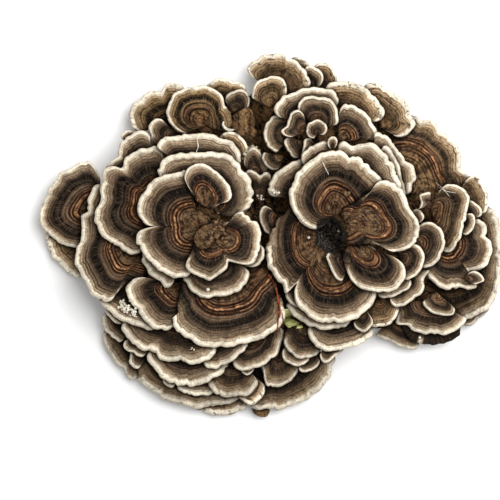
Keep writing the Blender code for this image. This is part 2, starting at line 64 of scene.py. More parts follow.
# How the caps are stacked, in millimetres and shares of the reach, as the solids are
CLIMB = 0.17
DROOP = 0.20
STACK_GAP = 1.3
LIFT_SLOPE = 0.28
LIFT_CELL = 3.0
LIFT_TOLERANCE = 0.02
LIFT_SOFTENINGS = 4
LOWEST_UNDERSIDE = 1.2
RASTER_CELL = 1.0
RASTER_HALF = (130.0, 105.0)
STACK_STEP = 1.0
LEAST_STACK_GRID = (6, 5)
SPLINE_STEPS = 12
REACH_SAMPLES = 24
# Blur of the caps' cover for the painted shade under overhanging caps, on the caps and on the crust
COVER_BLUR = 4
CRUST_COVER_BLUR = 3

# Steps of a cap's mesh next to the margin, and the share of the reach that it covers
EDGE_STEPS = (0.0, 0.15, 0.4, 0.8, 1.3)
EDGE_PART = 0.3
LEAST_STEPS = 4
SEAT_STOP = 0.97

# Wavelength and seed of each kind of unevenness of a cap
SEEDS_PER_CAP = 7
WAVES = {"fold": (4.2, 0), "scallop": (8.5, 1), "fine scallop": (4.2, 2), "ruffle": (15.0, 3),
         "fine ruffle": (6.5, 4), "terrace": (2.7, 5), "fine terrace": (1.3, 6),
         "knob across": (4.6, 8), "knob along": (5.4, 9), "knob aslant": (2.9, 10)}
NICK_SEED = 6
NICK_DEPTHS = (0.3, 1.1)
NICK_WIDTHS = (0.6, 1.3)
FINE_SCALLOP = 0.30
FINE_RUFFLE = 0.45
FINE_TERRACE = 0.5
CORNER_PART = 0.3
CORNER_DRAW = 0.55
# Where the terraces begin behind the margin, and how the folds sway with the growth
TERRACE_START = (1.5, 6.0)
FOLD_SWAY = 0.6
FOLD_SWAY_LENGTH = 4.0
# Distance from the margin and width of the roll and of the groove behind it
ROLL = (1.4, 1.1)
GROOVE = (3.8, 1.3)
GROOVE_DEPTH = 0.8
CURL_LENGTH = 1.8
LOWEST_POINT = 0.3
EDGE_UNDER = 0.35

# How the growth rings follow the margin: they are smoother near the seat than near the margin
RING_SOFTNESS = 4.0
RING_SOFTNESSES = {"right_lower_cap": 9.0, "big_front_cap": 6.0, "right_old_outer_cap": 7.0,
                   "right_rosette_front_cap": 6.0, "left_rosette_left_cap": 10.0,
                   "left_rosette_front_cap": 8.0}
SEAT_SOFTENING = 3.0
SEAT_TURN = (0.45, 0.92)
MARGIN_TURN = (3.0, 9.0)
OUTER_PART = 0.45
RING_STRETCH = (0.8, 1.25)
SIDE_SLOPE = 0.85
BARE_SIDE = 60.0

# Bare old ends of a margin, and how much further out the rings run along one of them
BARE_FADE = 3.0
BARE_RISE = {"big_front_cap": 0.45}
BARE_RISE_START = 8.0
OLD_DEPTH = 4.5
OLD_DEPTHS = {"lower_right_dark_cap": 12.0, "lower_right_outer_cap": 9.0}

# Height of the lumps on the caps that are only an old knob
KNOB_LUMPS = {"left_centre_lobe": 1.1, "top_middle_old_cap": 0.5, "front_bottom_tip": 0.4}
KNOB_START = (0.5, 3.0)
KNOB_ASLANT = 0.6
KNOB_GROWTH = 1.8
KNOB_BAND = 0.05
OLD_BAND = 0.86

# The crust that carries the caps
CRUST_SLOPE = 1.35
CRUST_RIM = 1.6
CRUST_CENTRE = (-6.0, -4.0)
CRUST_SEARCH = 140.0
CRUST_LEAST_RADIUS = 10.0
OUTLINE_STEP = 0.5
KNOB_SINK = 2.0
KNOB_SHARE = 0.08
CRUST_LEAST_TOP = 0.8
CRUST_FRACTAL = (1.0, 2.0, 4)
ANGLE_DIGITS = 4
EQUATOR_SLACK = 1e-4

# The rotten hole between the seats of the right rosette, and the depth, number and phase of
# the waves in its outline
PIT_CENTRE = (30.0, -0.5)
PIT_RADIUS = 9.0
PIT_DEPTH = 10.0
PIT_WALL = (0.76, 1.0)
PIT_WAVES = ((0.09, 2.0, 4.4), (0.07, 5.0, 2.0), (0.05, 9.0, 0.0))

# Stage, in metres
FRAME_CENTRE = (-0.010, -0.0075)
SENSOR_MM = 36.0
FAR_CLIP = 100.0
FLOOR_SIZE = 8.0
FLOOR_DROP = 0.0003
FLOOR_TONES = ((0.86, 0.86, 0.86, 1.0), (0.89, 0.89, 0.89, 1.0))
FLOOR_GRAIN = 3.0
LAMP_SIZE = 1.2
LAMP_PLACE = (0.5, 0.4, 1.2)
LAMP_AIM = (0.0, 0.0, 0.02)

# Where the growth bands begin and end on a full-sized cap: millimetres from the margin and,
# next to it, the same place on the scale of 0 to 1 that the finishes use
FULL_REACH = 27.0
SMALLEST_SCALE = 0.38
BAND_EDGES = (0.0, 2.4, 5.0, 7.5, 12.5)
BAND_MARKS = (0.0, 0.12, 0.25, 0.33, 0.48, 0.58, 0.75, 1.0)
LEAST_BAND = 0.5
RUST_OUTSIDE = 3.2
RUST_INSIDE = 2.6
RING_MARK = 0.674
# Width of the pale and tan bands of some caps, as a share of the usual width
BAND_WIDTHS = {"left_outer_cap": 0.72, "left_middle_big_cap": 0.86, "left_lower_big_cap": 0.88,
               "right_old_outer_cap": 0.78, "right_outer_cap": 0.85, "top_right_cap": 1.35,
               "top_far_right_cap": 1.35, "top_left_outer_cap": 1.15, "top_left_big_cap": 0.85,
               "right_middle_cap": 0.8}

# Share of the reach at which the brightest orange ring lies
RING_SHARE = 0.42
RING_SHARES = {"left_rosette_left_cap": 0.33, "left_rosette_front_cap": 0.43,
               "right_rosette_back_cap": 0.37, "right_rosette_top_cap": 0.40,
               "right_rosette_lower_cap": 0.30, "right_rosette_front_cap": 0.57,
               "big_front_cap": 0.46, "right_old_outer_cap": 0.53, "right_middle_cap": 0.30,
               "right_lower_cap": 0.35, "left_outer_cap": 0.34, "left_lower_big_cap": 0.50,
               "left_middle_big_cap": 0.40}

# How many of a margin's points at its start and at its end lie on old tissue without a pale edge
BARE_POINTS = {"left_rosette_left_cap": (5, 3), "left_rosette_front_cap": (3, 2),
               "left_rosette_crescent_cap": (1, 1), "left_rosette_back_cap": (1, 1),
               "left_centre_lobe": (5, 5), "right_rosette_top_cap": (3, 4),
               "right_rosette_lower_cap": (2, 1), "right_rosette_front_cap": (4, 0),
               "right_rosette_back_cap": (0, 1), "lower_left_first_cap": (2, 0),
               "right_old_outer_cap": (2, 3), "far_right_cap": (0, 4), "right_lower_cap": (0, 2),
               "lower_right_front_cap": (1, 0), "lower_right_dark_cap": (6, 2),
               "lower_right_outer_cap": (0, 1), "top_middle_old_cap": (5, 5),
               "top_left_big_cap": (0, 2), "left_lower_big_cap": (0, 2),
               "front_outer_left_cap": (3, 0), "big_front_cap": (4, 4),
               "front_low_right_cap": (1, 0), "front_outer_right_cap": (2, 0),
               "front_right_dark_cap": (1, 1), "front_bottom_tip": (3, 3)}

# Noise over a cap: what its two directions follow and how they are stretched, then its scale,
# detail and roughness
SEED_SPREAD = 61.0
ZONE_NOISE = {
    "wander": ("Spoke", 0.12, "Rings", 0.05, 1.0, 2.0, 0.5),
    "wide": ("Rings", 1.0, "Spoke", 0.03, 0.42, 1.0, 0.5),
    "lines": ("Rings", 1.0, "Spoke", 0.03, 1.05, 2.0, 0.6),
    "fine": ("Rings", 1.0, "Spoke", 0.03, 2.3, 1.0, 0.5),
    "drift": ("Rings", 0.25, "Spoke", 0.03, 1.0, 1.0, 0.5),
    "strands": ("Spoke", 1.0, "Rings", 0.09, 1.9, 3.0, 0.7),
    "patches": ("Spoke", 0.22, "Rings", 0.3, 1.0, 2.0, 0.5),
}
BAND_WANDER = 0.05
WAVE_TURNS = 4.6
WAVE_DRIFT = 6.0

# Layers of colour, each laid over the ones before it: the field that it follows, the soft step
# (from, to and, where they aren't 0 and 1, the least and most cover) and the colour
ZONE_LAYERS = (("band", (-0.01, 0.035), "Margin"), ("band", (0.09, 0.20), "Tan"),
               ("band", (0.19, 0.32), "Brown"), ("band", (0.30, 0.42), "Dark"))
BROWN_LAYERS = (("wide", (0.38, 0.62), "Fibril"),)
BROWN_START = (0.45, 0.55)
OLD_LAYERS = (("wide", (0.42, 0.62, 0.0, 0.6), "Rust"),
              ("patches", (0.56, 0.68, 0.0, 0.55), "Olive"),
              ("patches", (0.54, 0.42, 0.0, 0.8), "Dark"),
              ("fine", (0.54, 0.68, 0.0, 0.6), "Fibril"))
OLD_START = (0.69, 0.77)
EMBER_LAYERS = (("lines", (0.46, 0.62, 0.0, 0.8), "Rust"),
                ("wave", (0.25, -0.6, 0.0, 0.75), "Dark"))
EMBER_BASE = 0.40
CRUST_LAYERS = (("lines", (0.42, 0.58), "crust"), ("lines", (0.57, 0.64, 0.0, 0.75), "rust"),
                ("lines", (0.64, 0.69, 0.0, 0.65), "ochre"))

# Masks over a cap: the soft steps whose product each one is
ZONE_MASKS = {
    "crest": (("wave", 0.76, 0.98), ("patches", 0.36, 0.62, 0.10, 0.75)),
    "ring": (("band", 0.55, 0.61), ("band", 0.78, 0.72), ("patches", 0.28, 0.5, 0.55, 1.0)),
    "bright": (("off ring", 0.019, 0.007), ("patches", 0.35, 0.6, 0.20, 0.95)),
    "contrast": (("band", 0.07, 0.17, 0.10, 1.0),),
    "dark line": (("lines", 0.47, 0.39),),
    "hair line": (("wave", -0.25, -0.85), ("fine", 0.66, 0.46)),
    "light line": (("lines", 0.56, 0.64), ("band", 0.36, 0.28, 0.22, 1.0)),
    "strand": (("band", 0.34, 0.46), ("band", 0.66, 0.56), ("strands", 0.50, 0.66)),
    "comb": (("strands", 0.3, 0.7, 0.86, 1.12),),
}
LIGHT_LINE = 0.36
STRAND_COVER = 0.48
STRAND_HEIGHT = 0.4
FINE_HEIGHT = 0.5

# Soft steps of the painted shade under overhanging caps, the grime, the underside and the grit of a
# cap
OVERHANG_SHADE_STEP = (0.0, 0.62)
CHAR_STEP = (0.40, 0.66)
PIT_STEP = (0.05, 0.6)
GRAIN_LIGHT = (0.3, 0.7, 0.62, 1.36)
PATCH_LIGHT = (0.3, 0.7, 0.85, 1.15)
SPOT_STEP = (0.49, 0.36)
PORE_STEP = (0.42, 0.18)
UNDER_STEP = (0.3, 0.6)
STREAK_STEP = (0.38, 0.62)
RIM_GRIT = (0.10, 0.30, 0.35, 1.0)

# Scale of the pores, and detail and roughness of the noise of the grain
PORE_SCALE = 2600.0
GRAIN_LOOK = (3.0, 0.6)
BLOTCH_LOOK = (3.0, 0.55)
MOTTLE_LOOK = (4.0, 0.65)
MOTTLE_FINENESS = 4.5

# Torn lines of the crust: the noise that bends them, how far, and how high they stand
CRUST_GRAIN = 900.0
CRUST_WARP = (160.0, 3.0)
CRUST_BEND = (26.0, 4.0)
CRUST_LINE_HEIGHT = 0.7
# Strength of the painted shade that the caps above cast on the crust
CRUST_OVERHANG_SHADE = 0.35
CRUST_SPOTS = 0.8

# Roughness and gloss of the surfaces, and depth in metres and strength of their fine relief
CAP_ROUGHNESS = 0.82
LITTER_ROUGHNESS = 0.75
DULL_ROUGHNESS = 0.9
SPECULAR = 0.06
CAP_RELIEF = (0.0004, 0.6)
LITTER_RELIEF = (0.0003, 1.0)
CRUST_RELIEF = (0.0012, 1.0)
GRIT_HEIGHT = 0.5
SEED_STEP = 0.618

# Fixed tones of the shader groups, on Blender's linear scale
GREY = (0.5, 0.5, 0.5, 1.0)
OLIVE = (0.20, 0.145, 0.07, 1.0)
LINE_SHADE = (0.36, 0.31, 0.27, 1.0)
HAIR_SHADE = (0.42, 0.37, 0.33, 1.0)
# Dark tone of the painted shade under overhanging caps
OVERHANG_SHADE_TONE = (0.07, 0.055, 0.045, 1.0)
CHAR = (0.10, 0.085, 0.07, 1.0)


class Finish(NamedTuple):
    """How one kind of cap differs from the common colours."""

    rust: float  # share of the rusty rings
    contrast: float  # strength of the fine lines
    stain: float  # share of the olive stain
    spots: float  # share of the dark spots
    light: float  # brightness of the tan and brown bands
    pale: float  # how far the dark band goes towards the fibrils' colour
    rim: float  # brightness of the pale margin
    slot: str  # the record's finish


FINISHES = {
    "rusty": Finish(1.0, 0.90, 0.0, 0.35, 1.0, 0.0, 1.0, "rusty"),
    "greyed": Finish(0.7, 0.95, 0.15, 0.4, 1.05, 0.12, 1.0, "rusty"),
    "banded": Finish(1.0, 1.0, 0.2, 0.6, 1.35, 0.1, 0.95, "weathered"),
    "young": Finish(0.35, 0.85, 0.0, 0.3, 0.9, 0.1, 0.94, "young"),
    "dusky": Finish(0.35, 0.9, 0.2, 0.5, 0.66, 0.0, 0.86, "young"),
    "ochre": Finish(0.45, 0.9, 0.42, 0.5, 1.0, 0.0, 0.95, "rusty"),
    "weathered": Finish(0.45, 0.9, 0.3, 0.75, 1.25, 0.35, 1.0, "weathered"),
    # The shaded finish's darker bands and margin are partly these caps' own colour and partly
    # painted shade
    "shaded": Finish(0.12, 0.8, 0.12, 0.5, 0.76, 0.1, 0.74, "shaded"),
}

# Litter finishes: the darker and the lighter colour, and the scale of the streaks of them
LITTER = {
    "needle_skin": ("needle_dark", "needle_light", 900.0),
    "pale_fibre": ("mould_shade", "mould", 500.0),
    "leaf_blade": ("leaf_dark", "leaf_light", 420.0),
    "mould_fluff": ("mould_shade", "mould", 1500.0),
    "crumb_tissue": ("crumb_dark", "crumb_light", 700.0),
    "pale_nodules": ("nodule_dark", "nodule_light", 700.0),
}

# Fallen needles, pale curl, fibres and a crack: path, radius and height above the caps
THREAD_STEPS = 8
TUBE_SIDES = 8
TUBE_TIP = 0.25
THREADS = {
    "fallen_needle": ([(-1.5, -19), (1, -22.5), (3.2, -27.5), (4.2, -36), (3.9, -44), (3.4, -51.5)],
                      0.42, 0.8),
    "second_needle": ([(4.6, -31), (4.9, -38), (4.6, -46), (5.3, -50)], 0.26, 0.6),
    "short_needle": ([(6.0, -38.5), (6.6, -43), (6.3, -47.5)], 0.26, 0.7),
    "pale_curl": ([(-23.2, 57), (-23.4, 55), (-22, 53.2), (-20, 52.6), (-18, 52.8)], 0.75, 0.4),
    "pale_fibre": ([(25.6, 37), (27, 34), (29.2, 29.5)], 0.16, 0.1),
    "rim_crack": ([(-36, 50), (-36.3, 47), (-35.8, 44), (-36.8, 41)], 0.2, 0.0),
    "right_fibre": ([(83, 27), (87, 22.5), (90, 19)], 0.14, 0.3),
    "right_fibre_lower": ([(84, 24.5), (88, 22), (93, 21)], 0.12, 0.3),
}

# Leaf scraps: outline, height above the caps and arch
LEAF_THICKNESS = 0.3
LEAF_STEPS = 6
LEAF_LOOPS = (1.0, 0.8, 0.6, 0.4, 0.2)
LEAF_WAVE = 0.25
LEAF_WAVE_SHAPE = (4.0, 3)
LEAF_SCRAPS = {
    "green_leaf_scrap": ([(6.5, -42.5), (9, -41.5), (13, -43), (16.5, -46), (12.5, -46.8),
                          (8.5, -46)], 1.8, 0.7),
    "olive_leaf_scrap": ([(6.5, -37.5), (9, -37), (11, -39.5), (10, -41.5), (7.5, -41)], 0.4, 0.5),
}

# Lumps of mould and crumbs: how uneven they are, how fast that changes, and how flat they lie
BLOB_LUMP = 0.45
BLOB_DENSITY = 1.7
BLOB_SEED_STEP = 3.7
MOULD_FLATNESS = 0.7
CRUMB_FLATNESS = 0.8
BLOB_DETAIL = 2

# Mould: start, end and width of the patch, number of lumps and their size. A patch of many
# lumps is piled up.
MOULD_SPREAD = 0.4
MOULD_SIZES = (0.5, 1.25)
MOULD_LIFT = (0.1, 0.3)
MANY_LUMPS = 10
PILE_HEIGHT = 1.2
MOULD = {
    "mould_tuft": ((-75.5, -33.5), (-67.5, -39), 3.4, 60, 0.62),
    "mould_tuft_tip": ((-71, -36.5), (-66.5, -41), 1.2, 14, 0.45),
    "centre_mould": ((1, 22.5), (4.5, 20.5), 1.4, 12, 0.6),
    "centre_mould_lower": ((-6.5, 19.5), (-3.5, 17.5), 1.2, 8, 0.5),
    "speck_front_left": ((-31, -27), (-30.7, -27.6), 0.3, 4, 0.7),
    "speck_front_middle": ((-40.2, -56.5), (-38, -57.5), 0.5, 4, 0.5),
    "speck_pit_edge": ((34, 2.5), (34.4, 2.0), 0.4, 3, 0.5),
    "speck_pit_left": ((19, -1), (19.3, -1.4), 0.3, 2, 0.5),
    "speck_right_front": ((75.3, -51.5), (75.8, -51.8), 0.3, 2, 0.6),
    "speck_rosette_right": ((-6.2, 20), (-6, 19.5), 0.3, 2, 0.5),
}

# Crumbs: place, radius and height above the caps of each lump
CRUMBS = {
    "centre_crumbs": [(-26, 11, 0.9, 0.5), (-25.4, 9.2, 0.8, 0.9), (-25.8, 7.6, 1.0, 0.7),
                      (-24.2, 6.8, 0.9, 0.6), (-26.8, 6.0, 1.1, 0.5), (-25.0, 5.2, 1.0, 1.1),
                      (-23.2, 5.0, 0.8, 0.4), (-24.8, 3.4, 1.3, 0.8), (-26.6, 3.2, 1.1, 0.4),
                      (-23.4, 2.6, 0.9, 0.5), (-22.6, 0.8, 0.8, 0.4)],
    "centre_knobs": [(-29.5, 1.0, 1.5, 0.5), (-31.5, -0.5, 1.6, 0.4), (-33.5, -2.0, 1.4, 0.3),
                     (-29.0, -2.4, 1.6, 0.5), (-26.5, -0.8, 1.5, 0.7), (-27.6, 2.4, 1.2, 0.6),
                     (-31.0, -4.0, 1.5, 0.3), (-26.0, -3.6, 1.2, 0.4), (-34.5, 0.8, 1.1, 0.3),
                     (-23.5, -2.0, 1.0, 0.4)],
    "valley_crumbs": [(-11.8, 42.4, 1.0, 0.5), (-10.2, 43.8, 1.2, 0.6), (-8.6, 44.4, 1.1, 0.7),
                      (-6.8, 43.8, 0.9, 0.6), (-12.8, 40.4, 0.9, 0.5), (-9.3, 42.4, 0.9, 0.8),
                      (-7.4, 42.6, 0.8, 0.7), (-13.2, 38.2, 0.9, 0.5), (-5.4, 42.4, 0.8, 0.5)],
    "right_crumbs": [(36.5, 21.5, 1.1, 0.2), (37.5, 20.3, 1.3, 0.2), (39.0, 20.8, 0.9, 0.3)],
}
PALE_CRUMBS = ("valley_crumbs",)

# Each cap: name, finish, seat (x, y) on the crust, height of the seat, and the margin, read
# anticlockwise or clockwise round the fan. The list runs from the lowest cap to the highest.
CAPS = [
    ("right_outer_strip", "shaded", (95, -32.5), 7,
     [(97, -45), (99.5, -46), (102, -45.5), (105, -43), (108, -40.5), (110, -38.5), (111.5, -37)]),
    ("far_right_cap", "dusky", (91, -7.5), 9,
     [(108.5, 16), (112.5, 13.5), (115.5, 8.5), (117, -2.5), (117, -15), (115.5, -25),
      (113, -33.5), (108, -38.5), (100, -42.5), (95, -44), (88, -42), (80, -36), (72, -28),
      (70, -19)]),
    ("right_old_outer_cap", "banded", (67.5, 27.5), 14,
     [(57, 42), (62, 54), (71, 60.5), (76.5, 58), (81, 58.5), (84, 56), (85.5, 53), (89.5, 50.5),
      (93, 47.5), (95.5, 43.5), (96.5, 39), (96, 34.5), (99, 30.5), (102, 28.5), (100, 21),
      (89, 13), (78, 10)]),
    ("right_outer_cap", "weathered", (90, 12.5), 16,
     [(99, 28.5), (102.5, 30), (105, 29), (107.5, 25.5), (109.5, 20), (110, 16), (109, 12),
      (106.5, 10)]),
    ("top_pale_strip", "weathered", (14, 76), 8,
     [(10, 89.5), (13.5, 90), (16.5, 89), (19, 87), (20.5, 85)]),
    ("top_small_far_cap", "weathered", (25, 71.5), 9,
     [(22, 85.5), (25, 87), (29, 86.5), (31.5, 84.5), (33.5, 81.5), (34.5, 77.5)]),
    ("top_small_cap", "young", (17.5, 70.5), 11,
     [(17, 83.5), (19.5, 85.5), (23.5, 84.5), (26, 82.5), (27, 79), (26, 75.5)]),
    ("top_far_right_cap", "weathered", (56, 53.5), 19,
     [(46.5, 75.5), (50, 76.5), (55, 76.5), (59.5, 73.5), (64, 70.5), (68, 67.5), (70, 64),
      (70.5, 61), (72.5, 58.5), (73, 55.5), (71, 52), (67.5, 49.5), (65, 48.5)]),
    ("top_right_cap", "weathered", (40, 58.5), 21,
     [(26.5, 74), (31, 76.5), (36, 77.5), (41.5, 77), (46, 75), (50, 72.5), (53.5, 68.5),
      (56.5, 65), (57.5, 61.5), (56.5, 58.5), (54, 56.5)]),
    ("top_outer_cap", "weathered", (6.5, 70), 14,
     [(-6, 78), (-9.5, 80), (-11.5, 83.5), (-10, 86.5), (-6.5, 88.5), (-3.5, 90.5), (1.5, 91.5),
      (6, 91.5), (10, 89), (14, 87.5), (17, 84), (19.5, 80), (20.5, 76.5), (20, 73.5)]),
    ("top_back_old_cap", "weathered", (-23, 63.5), 11,
     [(-33.5, 74), (-30, 77), (-26, 79), (-22, 79), (-18, 77.5), (-14.5, 77), (-12, 74.5),
      (-11.5, 72)]),
    ("top_dark_cap", "shaded", (-18, 59.5), 15,
     [(-23, 68), (-21.5, 71), (-18.5, 72.5), (-14.5, 73.5), (-11.5, 72), (-10, 68.5), (-10.5, 64)]),
    ("top_left_outer_cap", "ochre", (-49, 55.5), 12,
     [(-68, 51.5), (-70, 55.5), (-71, 60), (-69.5, 66), (-66.5, 68), (-63.5, 71), (-60, 72.5),
      (-55, 73), (-52, 76.5), (-47.5, 76.5), (-42, 74.5)]),
    ("left_small_back_cap", "young", (-65, 42.5), 18,
     [(-75.5, 49), (-75, 50.5), (-72.5, 52.5), (-69.5, 53)]),
    ("left_outer_lower_cap", "weathered", (-87.5, 0), 7,
     [(-114, 2.5), (-113, -3.5), (-110, -10.5), (-106, -15), (-100.5, -20), (-95, -22.5)]),
    ("left_outer_cap", "rusty", (-87, 13.5), 13,
     [(-85, 29), (-90, 36.5), (-94.5, 37.5), (-99.5, 34), (-105, 32), (-108, 27.5), (-112, 22.5),
      (-114.5, 15.5), (-116.5, 9.5), (-114.5, 3.5), (-109, -2), (-103.5, -5), (-96, -7)]),
    ("lower_left_outer_cap", "shaded", (-65, -50), 7,
     [(-84.5, -48), (-84.5, -52.5), (-83, -57), (-80, -61.5), (-76.5, -66), (-73.5, -68),
      (-72, -71.5), (-69.5, -73.5), (-66, -73.5)]),
    ("front_bottom_tip", "weathered", (-4, -82.5), 6,
     [(-9.5, -86.5), (-8, -90), (-4.5, -92), (-1.5, -91.5), (0.5, -89)]),
    ("front_bottom_cap", "weathered", (-26, -62.5), 6,
     [(-38.5, -88), (-32.5, -90), (-25, -91), (-18.5, -90.5), (-13.5, -88.5), (-10, -86)]),
    ("front_outer_left_cap", "shaded", (-40, -57.5), 9.5,
     [(-60, -55), (-66, -62), (-66.5, -69), (-65.5, -74), (-60, -78), (-55, -82), (-49, -84.5),
      (-42.5, -86.5), (-36, -87.5), (-30, -86.5), (-24, -85.5), (-17.5, -84), (-12.5, -81.5)]),
    ("front_outer_right_cap", "shaded", (10, -57.5), 8,
     [(-14, -70), (-12, -80), (-9, -87), (-4, -88), (1, -88), (5.5, -88.5), (9.5, -86.5),
      (15, -85), (20, -82), (24.5, -79), (28.5, -74.5), (31.5, -69), (33, -63.5), (33.5, -59.5)]),
    ("lower_right_outer_cap", "shaded", (62.5, -40), 7.5,
     [(52.5, -51.5), (56.5, -52.5), (60.5, -53.5), (65, -56), (70, -57.5), (73.5, -57.5),
      (75.5, -54.5), (75, -47)]),
    ("lower_right_dark_cap", "shaded", (80, -37.5), 7,
     [(98, -42), (96, -48), (95.5, -50.5), (92, -53), (86.5, -55), (80.5, -55.5), (75.5, -54.5),
      (70, -52), (66, -44)]),
    ("lower_right_front_cap", "young", (81, -32.5), 15,
     [(62, -34), (63, -41.5), (64.5, -45), (69, -45.5), (72, -48), (76.5, -49.5), (82.5, -50),
      (89, -50), (93.5, -48), (97.5, -45), (100, -42.5)]),
    ("right_small_front_cap", "young", (83.5, -28.5), 20,
     [(76, -34), (78.5, -37), (82.5, -39.5), (88, -40.5), (92, -40), (93, -37.5), (91, -35)]),
    ("lower_left_third_cap", "shaded", (-65, -42.5), 12,
     [(-83.5, -38), (-84.5, -42.5), (-84, -46.5), (-81.5, -50), (-78.5, -52.5), (-75.5, -54),
      (-74, -53)]),
    ("lower_left_lobe", "young", (-58, -55), 11,
     [(-71.5, -59), (-70.5, -61.5), (-71, -64), (-69.5, -66), (-66.5, -68)]),
    ("front_ochre_cap", "weathered", (-14, -65), 12,
     [(-16, -82.5), (-11, -85), (-8, -85.5), (-5, -83), (-3, -80), (-1.5, -76.5)]),
    ("front_fourth_cap", "young", (-37.5, -57.5), 13,
     [(-48, -75.5), (-45, -78.5), (-41, -80.5), (-36, -81), (-31, -80.5), (-27, -79.5)]),
    ("front_low_middle_cap", "shaded", (-18, -58.5), 15,
     [(-32.5, -74.5), (-29.5, -77.5), (-26, -80.5), (-22, -81.5), (-15, -81), (-10, -80), (-7, -77),
      (-5, -74.5)]),
    ("front_third_lobe", "young", (-46, -62), 14,
     [(-54.5, -72), (-53.5, -74.5), (-51.5, -76), (-49, -77), (-48, -76.5)]),
    ("lower_left_scallop", "young", (-60, -48), 15,
     [(-74, -53.5), (-73.5, -56), (-71.5, -58.5), (-68.5, -59), (-67, -60.5), (-64, -61.5),
      (-62, -60)]),
    ("front_third_cap", "young", (-41.5, -47.5), 17,
     [(-63.5, -59.5), (-61, -63), (-58, -67.5), (-55, -71), (-51.5, -73.5), (-46.5, -75.5),
      (-40, -76), (-34, -75), (-29, -72.5), (-24, -69.5), (-21, -66.5), (-19.5, -63.5)]),
    ("front_low_right_cap", "shaded", (5.5, -55), 15,
     [(-8, -61), (-4, -67.5), (-3, -72), (-1.5, -76), (2.5, -76.5), (7, -75.5), (11, -73),
      (14, -69), (15, -66)]),
    ("front_small_tip", "young", (-11, -60), 17,
     [(-15, -68), (-13.5, -69.5), (-11.5, -70.5), (-9.5, -69.5), (-7.5, -67.5)]),
    ("front_middle_right_cap", "young", (-8, -47.5), 19,
     [(-19.5, -64.5), (-17, -67), (-13, -68), (-8, -67), (-3.5, -65.5), (0.5, -62.5), (4.5, -59),
      (5.5, -54.5), (7.5, -50), (6.5, -46)]),
    ("front_middle_cap", "young", (-27, -45), 21,
     [(-34, -64.5), (-31.5, -66.5), (-27.5, -67), (-23, -65.5), (-19, -63), (-15, -60),
      (-11.5, -56.5), (-10, -53.5)]),
    ("lower_left_second_cap", "young", (-66, -33), 20,
     [(-83.5, -37), (-81.5, -40.5), (-78.5, -43.5), (-75, -45.5)]),
    ("front_second_cap", "young", (-49, -35), 22,
     [(-74, -42.5), (-74.5, -46), (-72, -51), (-68, -55.5), (-63.5, -58), (-59.5, -58),
      (-56, -61.5), (-51, -63.5), (-45.5, -63), (-42, -64.5), (-37.5, -64.5), (-32, -63),
      (-28, -60.5), (-25.5, -57)]),
    ("lower_left_first_cap", "young", (-55, -25), 26,
     [(-80, -21), (-87, -27), (-85, -34), (-82, -37), (-78.5, -40), (-74.5, -43), (-69.5, -44.5),
      (-65.5, -46), (-61, -47.5), (-56, -48)]),
    ("front_right_small_cap", "young", (21, -57.5), 17,
     [(14, -67.5), (16.5, -69), (20, -68.5), (23.5, -66.5), (25.5, -63.5)]),
    ("front_right_round_cap", "young", (15, -50), 19,
     [(5.5, -58.5), (7, -62.5), (10.5, -65), (14.5, -66), (18, -64.5), (20.5, -61.5)]),
    ("front_right_dark_cap", "shaded", (17.5, -43.5), 22,
     [(8, -47), (7, -54), (9, -58), (12.5, -61), (16.5, -62), (20.5, -61.5), (23.5, -60),
      (25.5, -57.5), (25, -50)]),
    ("front_right_pale_cap", "young", (30, -50), 17,
     [(24.5, -61), (26.5, -63.5), (29, -64), (31.5, -62), (35, -59.5), (38, -57)]),
    ("front_right_brown_cap", "rusty", (36, -32.5), 24,
     [(18.5, -46), (19, -50), (21.5, -54), (24.5, -57), (30, -58), (36, -57.5), (42, -56),
      (47, -54), (51, -51), (53, -46.5)]),
    ("lower_middle_right_cap", "weathered", (55, -29), 26,
     [(65, -35.5), (64, -39.5), (62, -43), (58.5, -45.5), (54, -46), (50, -45.5), (47, -43)]),
    ("right_small_pale_cap", "young", (45, -35), 28,
     [(41.5, -45), (44, -47.5), (47, -48.5), (50, -46.5), (51.5, -43.5), (50, -40)]),
    ("right_lobe_cap", "young", (92.5, 11.5), 21,
     [(100, 18), (103.5, 16), (106, 13.5), (106.5, 10.5), (105, 8.5)]),
    ("right_lower_cap", "rusty", (87.5, -2.5), 22,
     [(105, 9), (107.5, 6.5), (109, 3), (108.5, -0.5), (111, -3), (111.5, -7), (110.5, -12),
      (108, -16), (103.5, -18), (100, -18.5), (102.5, -22.5), (104, -26), (100, -27.5),
      (96.5, -26.5), (91, -27.5), (85.5, -26.5), (82, -23.5), (79, -21), (74, -14), (74, -4)]),
    ("right_pocket_cap", "rusty", (94, 6.5), 25,
     [(98.5, 11), (101.5, 10.5), (103, 7), (101.5, 2.5), (98.5, 0), (96.5, 0)]),
    ("right_knob_lobe", "young", (97, -22), 24,
     [(100, -18.5), (102.5, -18), (105, -19), (107, -21), (107.5, -23), (105, -24), (103, -25)]),
    ("right_under_cap", "young", (64, -18.5), 27,
     [(81, -17.5), (78, -20.5), (77, -23.5), (77.5, -26.5), (75, -30), (71, -33), (66.5, -35.5),
      (62, -36), (59.5, -33.5)]),
    ("right_middle_cap", "greyed", (80, 13.5), 27,
     [(85.5, 23.5), (89, 25.5), (93.5, 25), (97.5, 22.5), (100, 19), (99, 14.5), (98.5, 11),
      (97.5, 6.5), (96, 1), (94, -4), (91, -8), (87, -9.5)]),
    ("right_under_strip_cap", "young", (57.5, -17.5), 32,
     [(71.5, -23), (69, -27), (65, -29.5), (60.5, -31), (56, -31.5), (52.5, -29.5)]),
    ("right_round_cap", "young", (72.5, -4.5), 33.5,
     [(73.5, 4.5), (76.5, 6), (80.5, 6.5), (84, 4.5), (86.5, 1), (87.5, -3.5), (86.5, -8),
      (84.5, -12), (81, -15.5), (77.5, -16.5), (74.5, -15.5)]),
    ("right_small_round_cap", "young", (64, -10.5), 38,
     [(71.5, -4), (74.5, -5.5), (76.5, -8.5), (77, -12.5), (75.5, -17), (72.5, -20.5),
